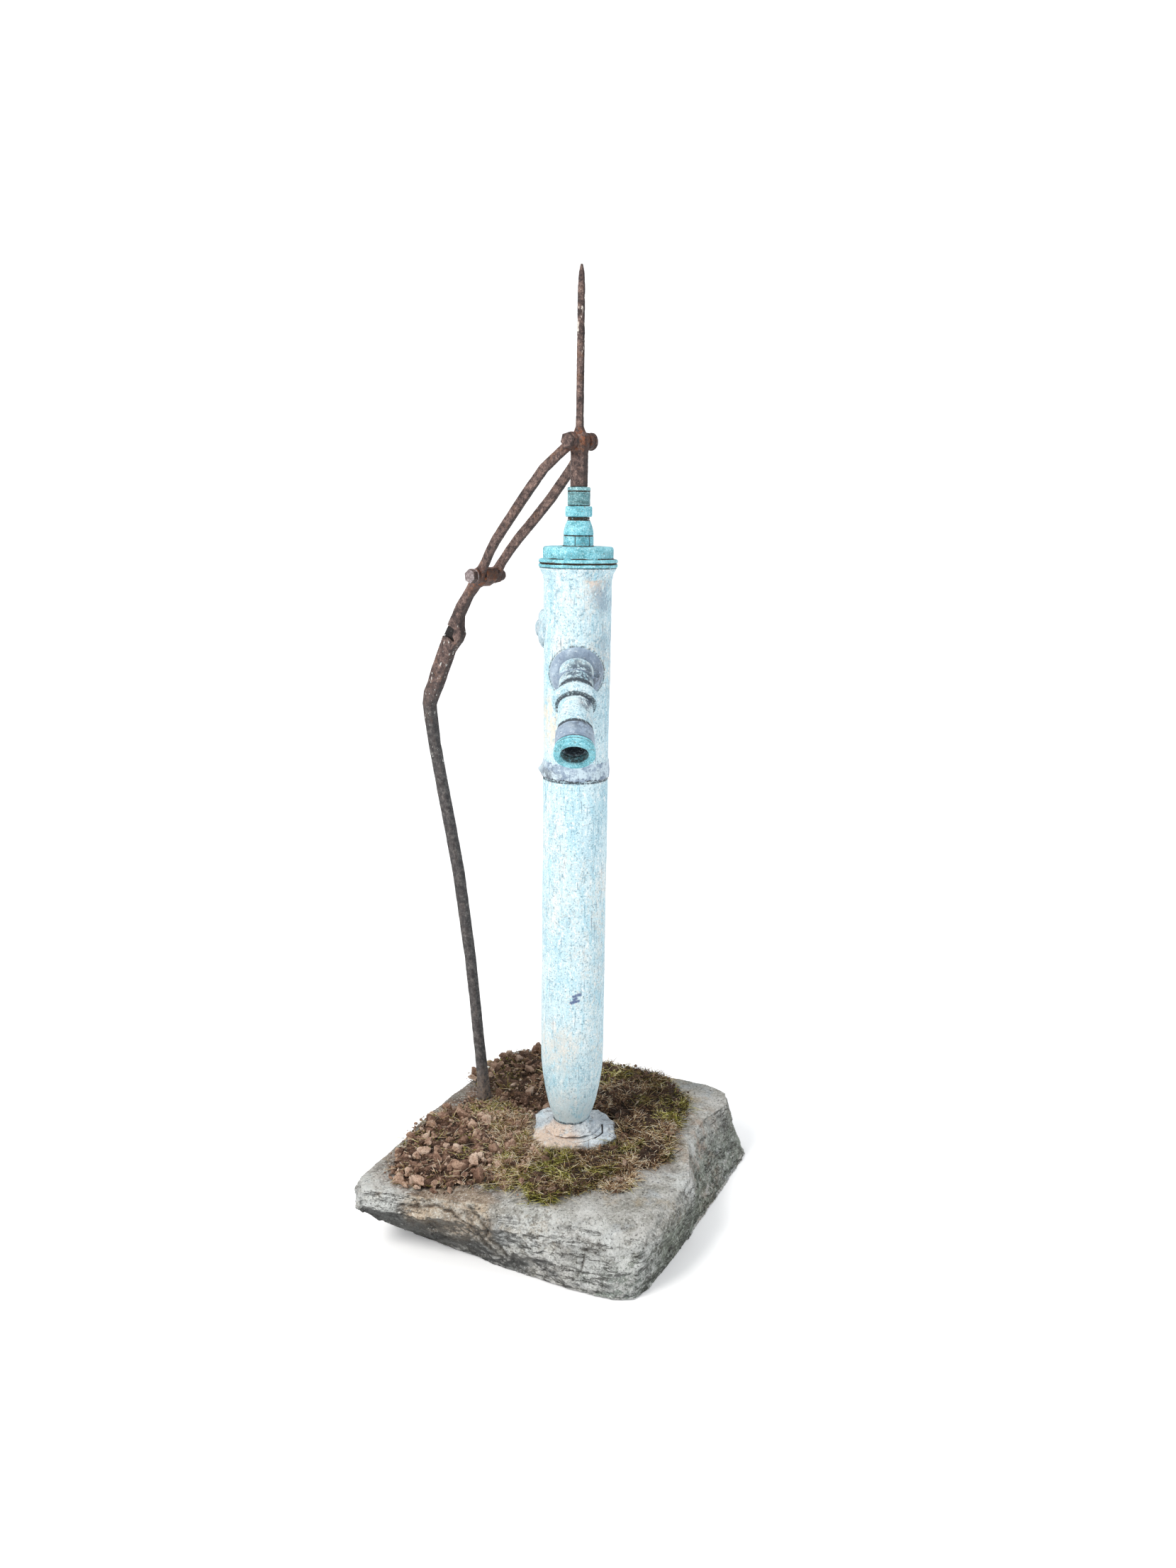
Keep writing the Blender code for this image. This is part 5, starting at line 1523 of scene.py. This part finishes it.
def round_the_foot(count, centre, wide, deep, height):
    """Random points in an oval on the stone, near where the handle's foot stands."""
    angle, away = 2 * pi * RNG.random(count), np.sqrt(RNG.random(count))
    return np.stack([centre[0] + wide * away * np.cos(angle), centre[1] + deep * away * np.sin(angle),
                     np.full(count, height)], 1)


def build_crumbs(material, fibre):
    """A spill of earth round the handle's foot, and crumbs and dry stalks along the mounds' edges."""
    spill = 900
    places = round_the_foot(spill, (-0.140, 0.085), 0.075, 0.075, STONE_TOP)
    sizes = (0.9 + 3.4 * RNG.random(spill) ** 2 + 4.5 * RNG.random(spill) ** 9) * MM
    places[:, 2] += sizes * 0.2
    places = keep_sweep_clear(places, sizes)
    tones = np.clip(0.50 + 0.20 * RNG.normal(size=spill), 0.05, 1)
    add_extra("spilt_soil", scatter_clods(places, sizes, tones), material, "soil_back", 28)

    counts = {"soil_left": 150, "moss_centre": 90, "moss_front": 80, "moss_right": 130, "soil_back": 70}
    places = np.vstack([cover_points(node, count, 1.0, 11 * MM) for node, count in counts.items()])
    inside = (places[:, 1] > -0.235) & (places[:, 0] > -0.31) & (places[:, 0] < 0.20) & (places[:, 1]
                                                                                         < 0.29)
    clear_of_plate = np.hypot(places[:, 0], places[:, 1]) > 0.09
    places = places[inside & clear_of_plate]
    sizes = (0.6 + 1.7 * RNG.random(len(places)) ** 2) * MM
    places[:, 2] = STONE_TOP + sizes * 0.2
    places = keep_sweep_clear(places, sizes)
    tones = np.clip(0.40 + 0.25 * RNG.normal(size=len(places)), 0.05, 1)
    add_extra("stray_crumbs", scatter_clods(places, sizes, tones), material, "soil_left", 35)

    counts = {"soil_left": 90, "moss_centre": 300, "moss_front": 90, "moss_right": 120}
    roots = np.vstack([cover_points(node, count, 0.35, 5 * MM) for node, count in counts.items()])
    lengths = (14 + 16 * RNG.random(len(roots))) * MM
    lengths = np.minimum(lengths, np.clip(sweep_clear(roots) - 0.012, 0.001, 1))
    tones = np.clip(0.9 + 0.1 * RNG.normal(size=len(roots)), 0.7, 1.1)
    stalks = scatter_fibres(roots, lengths, tones, 0.0, 0.0005, 0.35, 0.6)
    add_extra("dry_stalks", stalks, fibre, "moss_centre", 80)

    count = 520
    roots = round_the_foot(count, (-0.150, 0.080), 0.050, 0.040, STONE_TOP + 1 * MM)
    lengths = (7 + 9 * RNG.random(count)) * MM
    lengths = np.minimum(lengths, np.clip(sweep_clear(roots) - 0.012, 0.0006, 1))
    tones = np.clip(0.62 + 0.24 * RNG.normal(size=count), 0.1, 1.1)
    greens = np.clip(0.6 + 0.3 * RNG.normal(size=count), 0, 1)
    add_extra("foot_moss", scatter_fibres(roots, lengths, tones, greens), fibre, "moss_centre", 80)


def build_ground():
    """Soil and moss: a lumpy mound in each CAD solid's place, with clods and strands strewn over it."""
    soils = {"dry": earth("dry_soil"), "damp": earth("damp_soil", 0.4)}
    fibre = mossy("moss_fibres")
    for node, (soil, tone, clods, clod_tone, loose, strands, strand_tone, wide, green) in COVERS.items():
        add_piece(node + "_ground", mound(node, tone), soils[soil], node, 80)
        places = cover_points(node, clods, 0.35, loose * MM)
        largest = 10.5 if node.startswith("soil") else 5.0
        sizes = (1.2 + 2.8 * RNG.random(clods) ** 1.5 + largest * RNG.random(clods) ** 6) * MM
        places[:, 2] += sizes * 0.15
        places = keep_sweep_clear(places, sizes)
        tones = np.clip(clod_tone + 0.17 * RNG.normal(size=clods), 0.08, 1.1)
        add_extra(node + "_clods", scatter_clods(places, sizes, tones), soils[soil], node, 28)
        strewn_strands(node, strands, (loose + 3) / 2 * MM, strand_tone, wide, green, fibre)
    build_crumbs(soils["dry"], fibre)


# ---------------------------------------------------------------- hidden pieces

def dress_hidden_pieces():
    """CAD solids that stay as they are get procedural finishes."""
    finishes = {"inner_brass": inner_metal("dull_brass", (0.60, 0.45, 0.20)),
                "leather": soft_packing("greased_leather", (0.12, 0.07, 0.04)),
                "hemp": soft_packing("hemp_rope", (0.35, 0.27, 0.16)),
                "lead": patina("inner_lead"), "solder": wiped("inner_solder"),
                "verdigris": verdigris("inner_verdigris"), "iron": iron_joint("inner_iron")}
    for name, node in NODES.items():
        if not node.hide_render:
            node.data.materials.clear()
            node.data.materials.append(finishes[SLOT_OF[name]])


make_camera()
make_studio()
build_lower_barrel()
build_upper_barrel()
build_band()
build_foot()
build_spout()
build_delivery()
build_head()
build_gland()
build_iron()
build_stone()
build_ground()
dress_hidden_pieces()
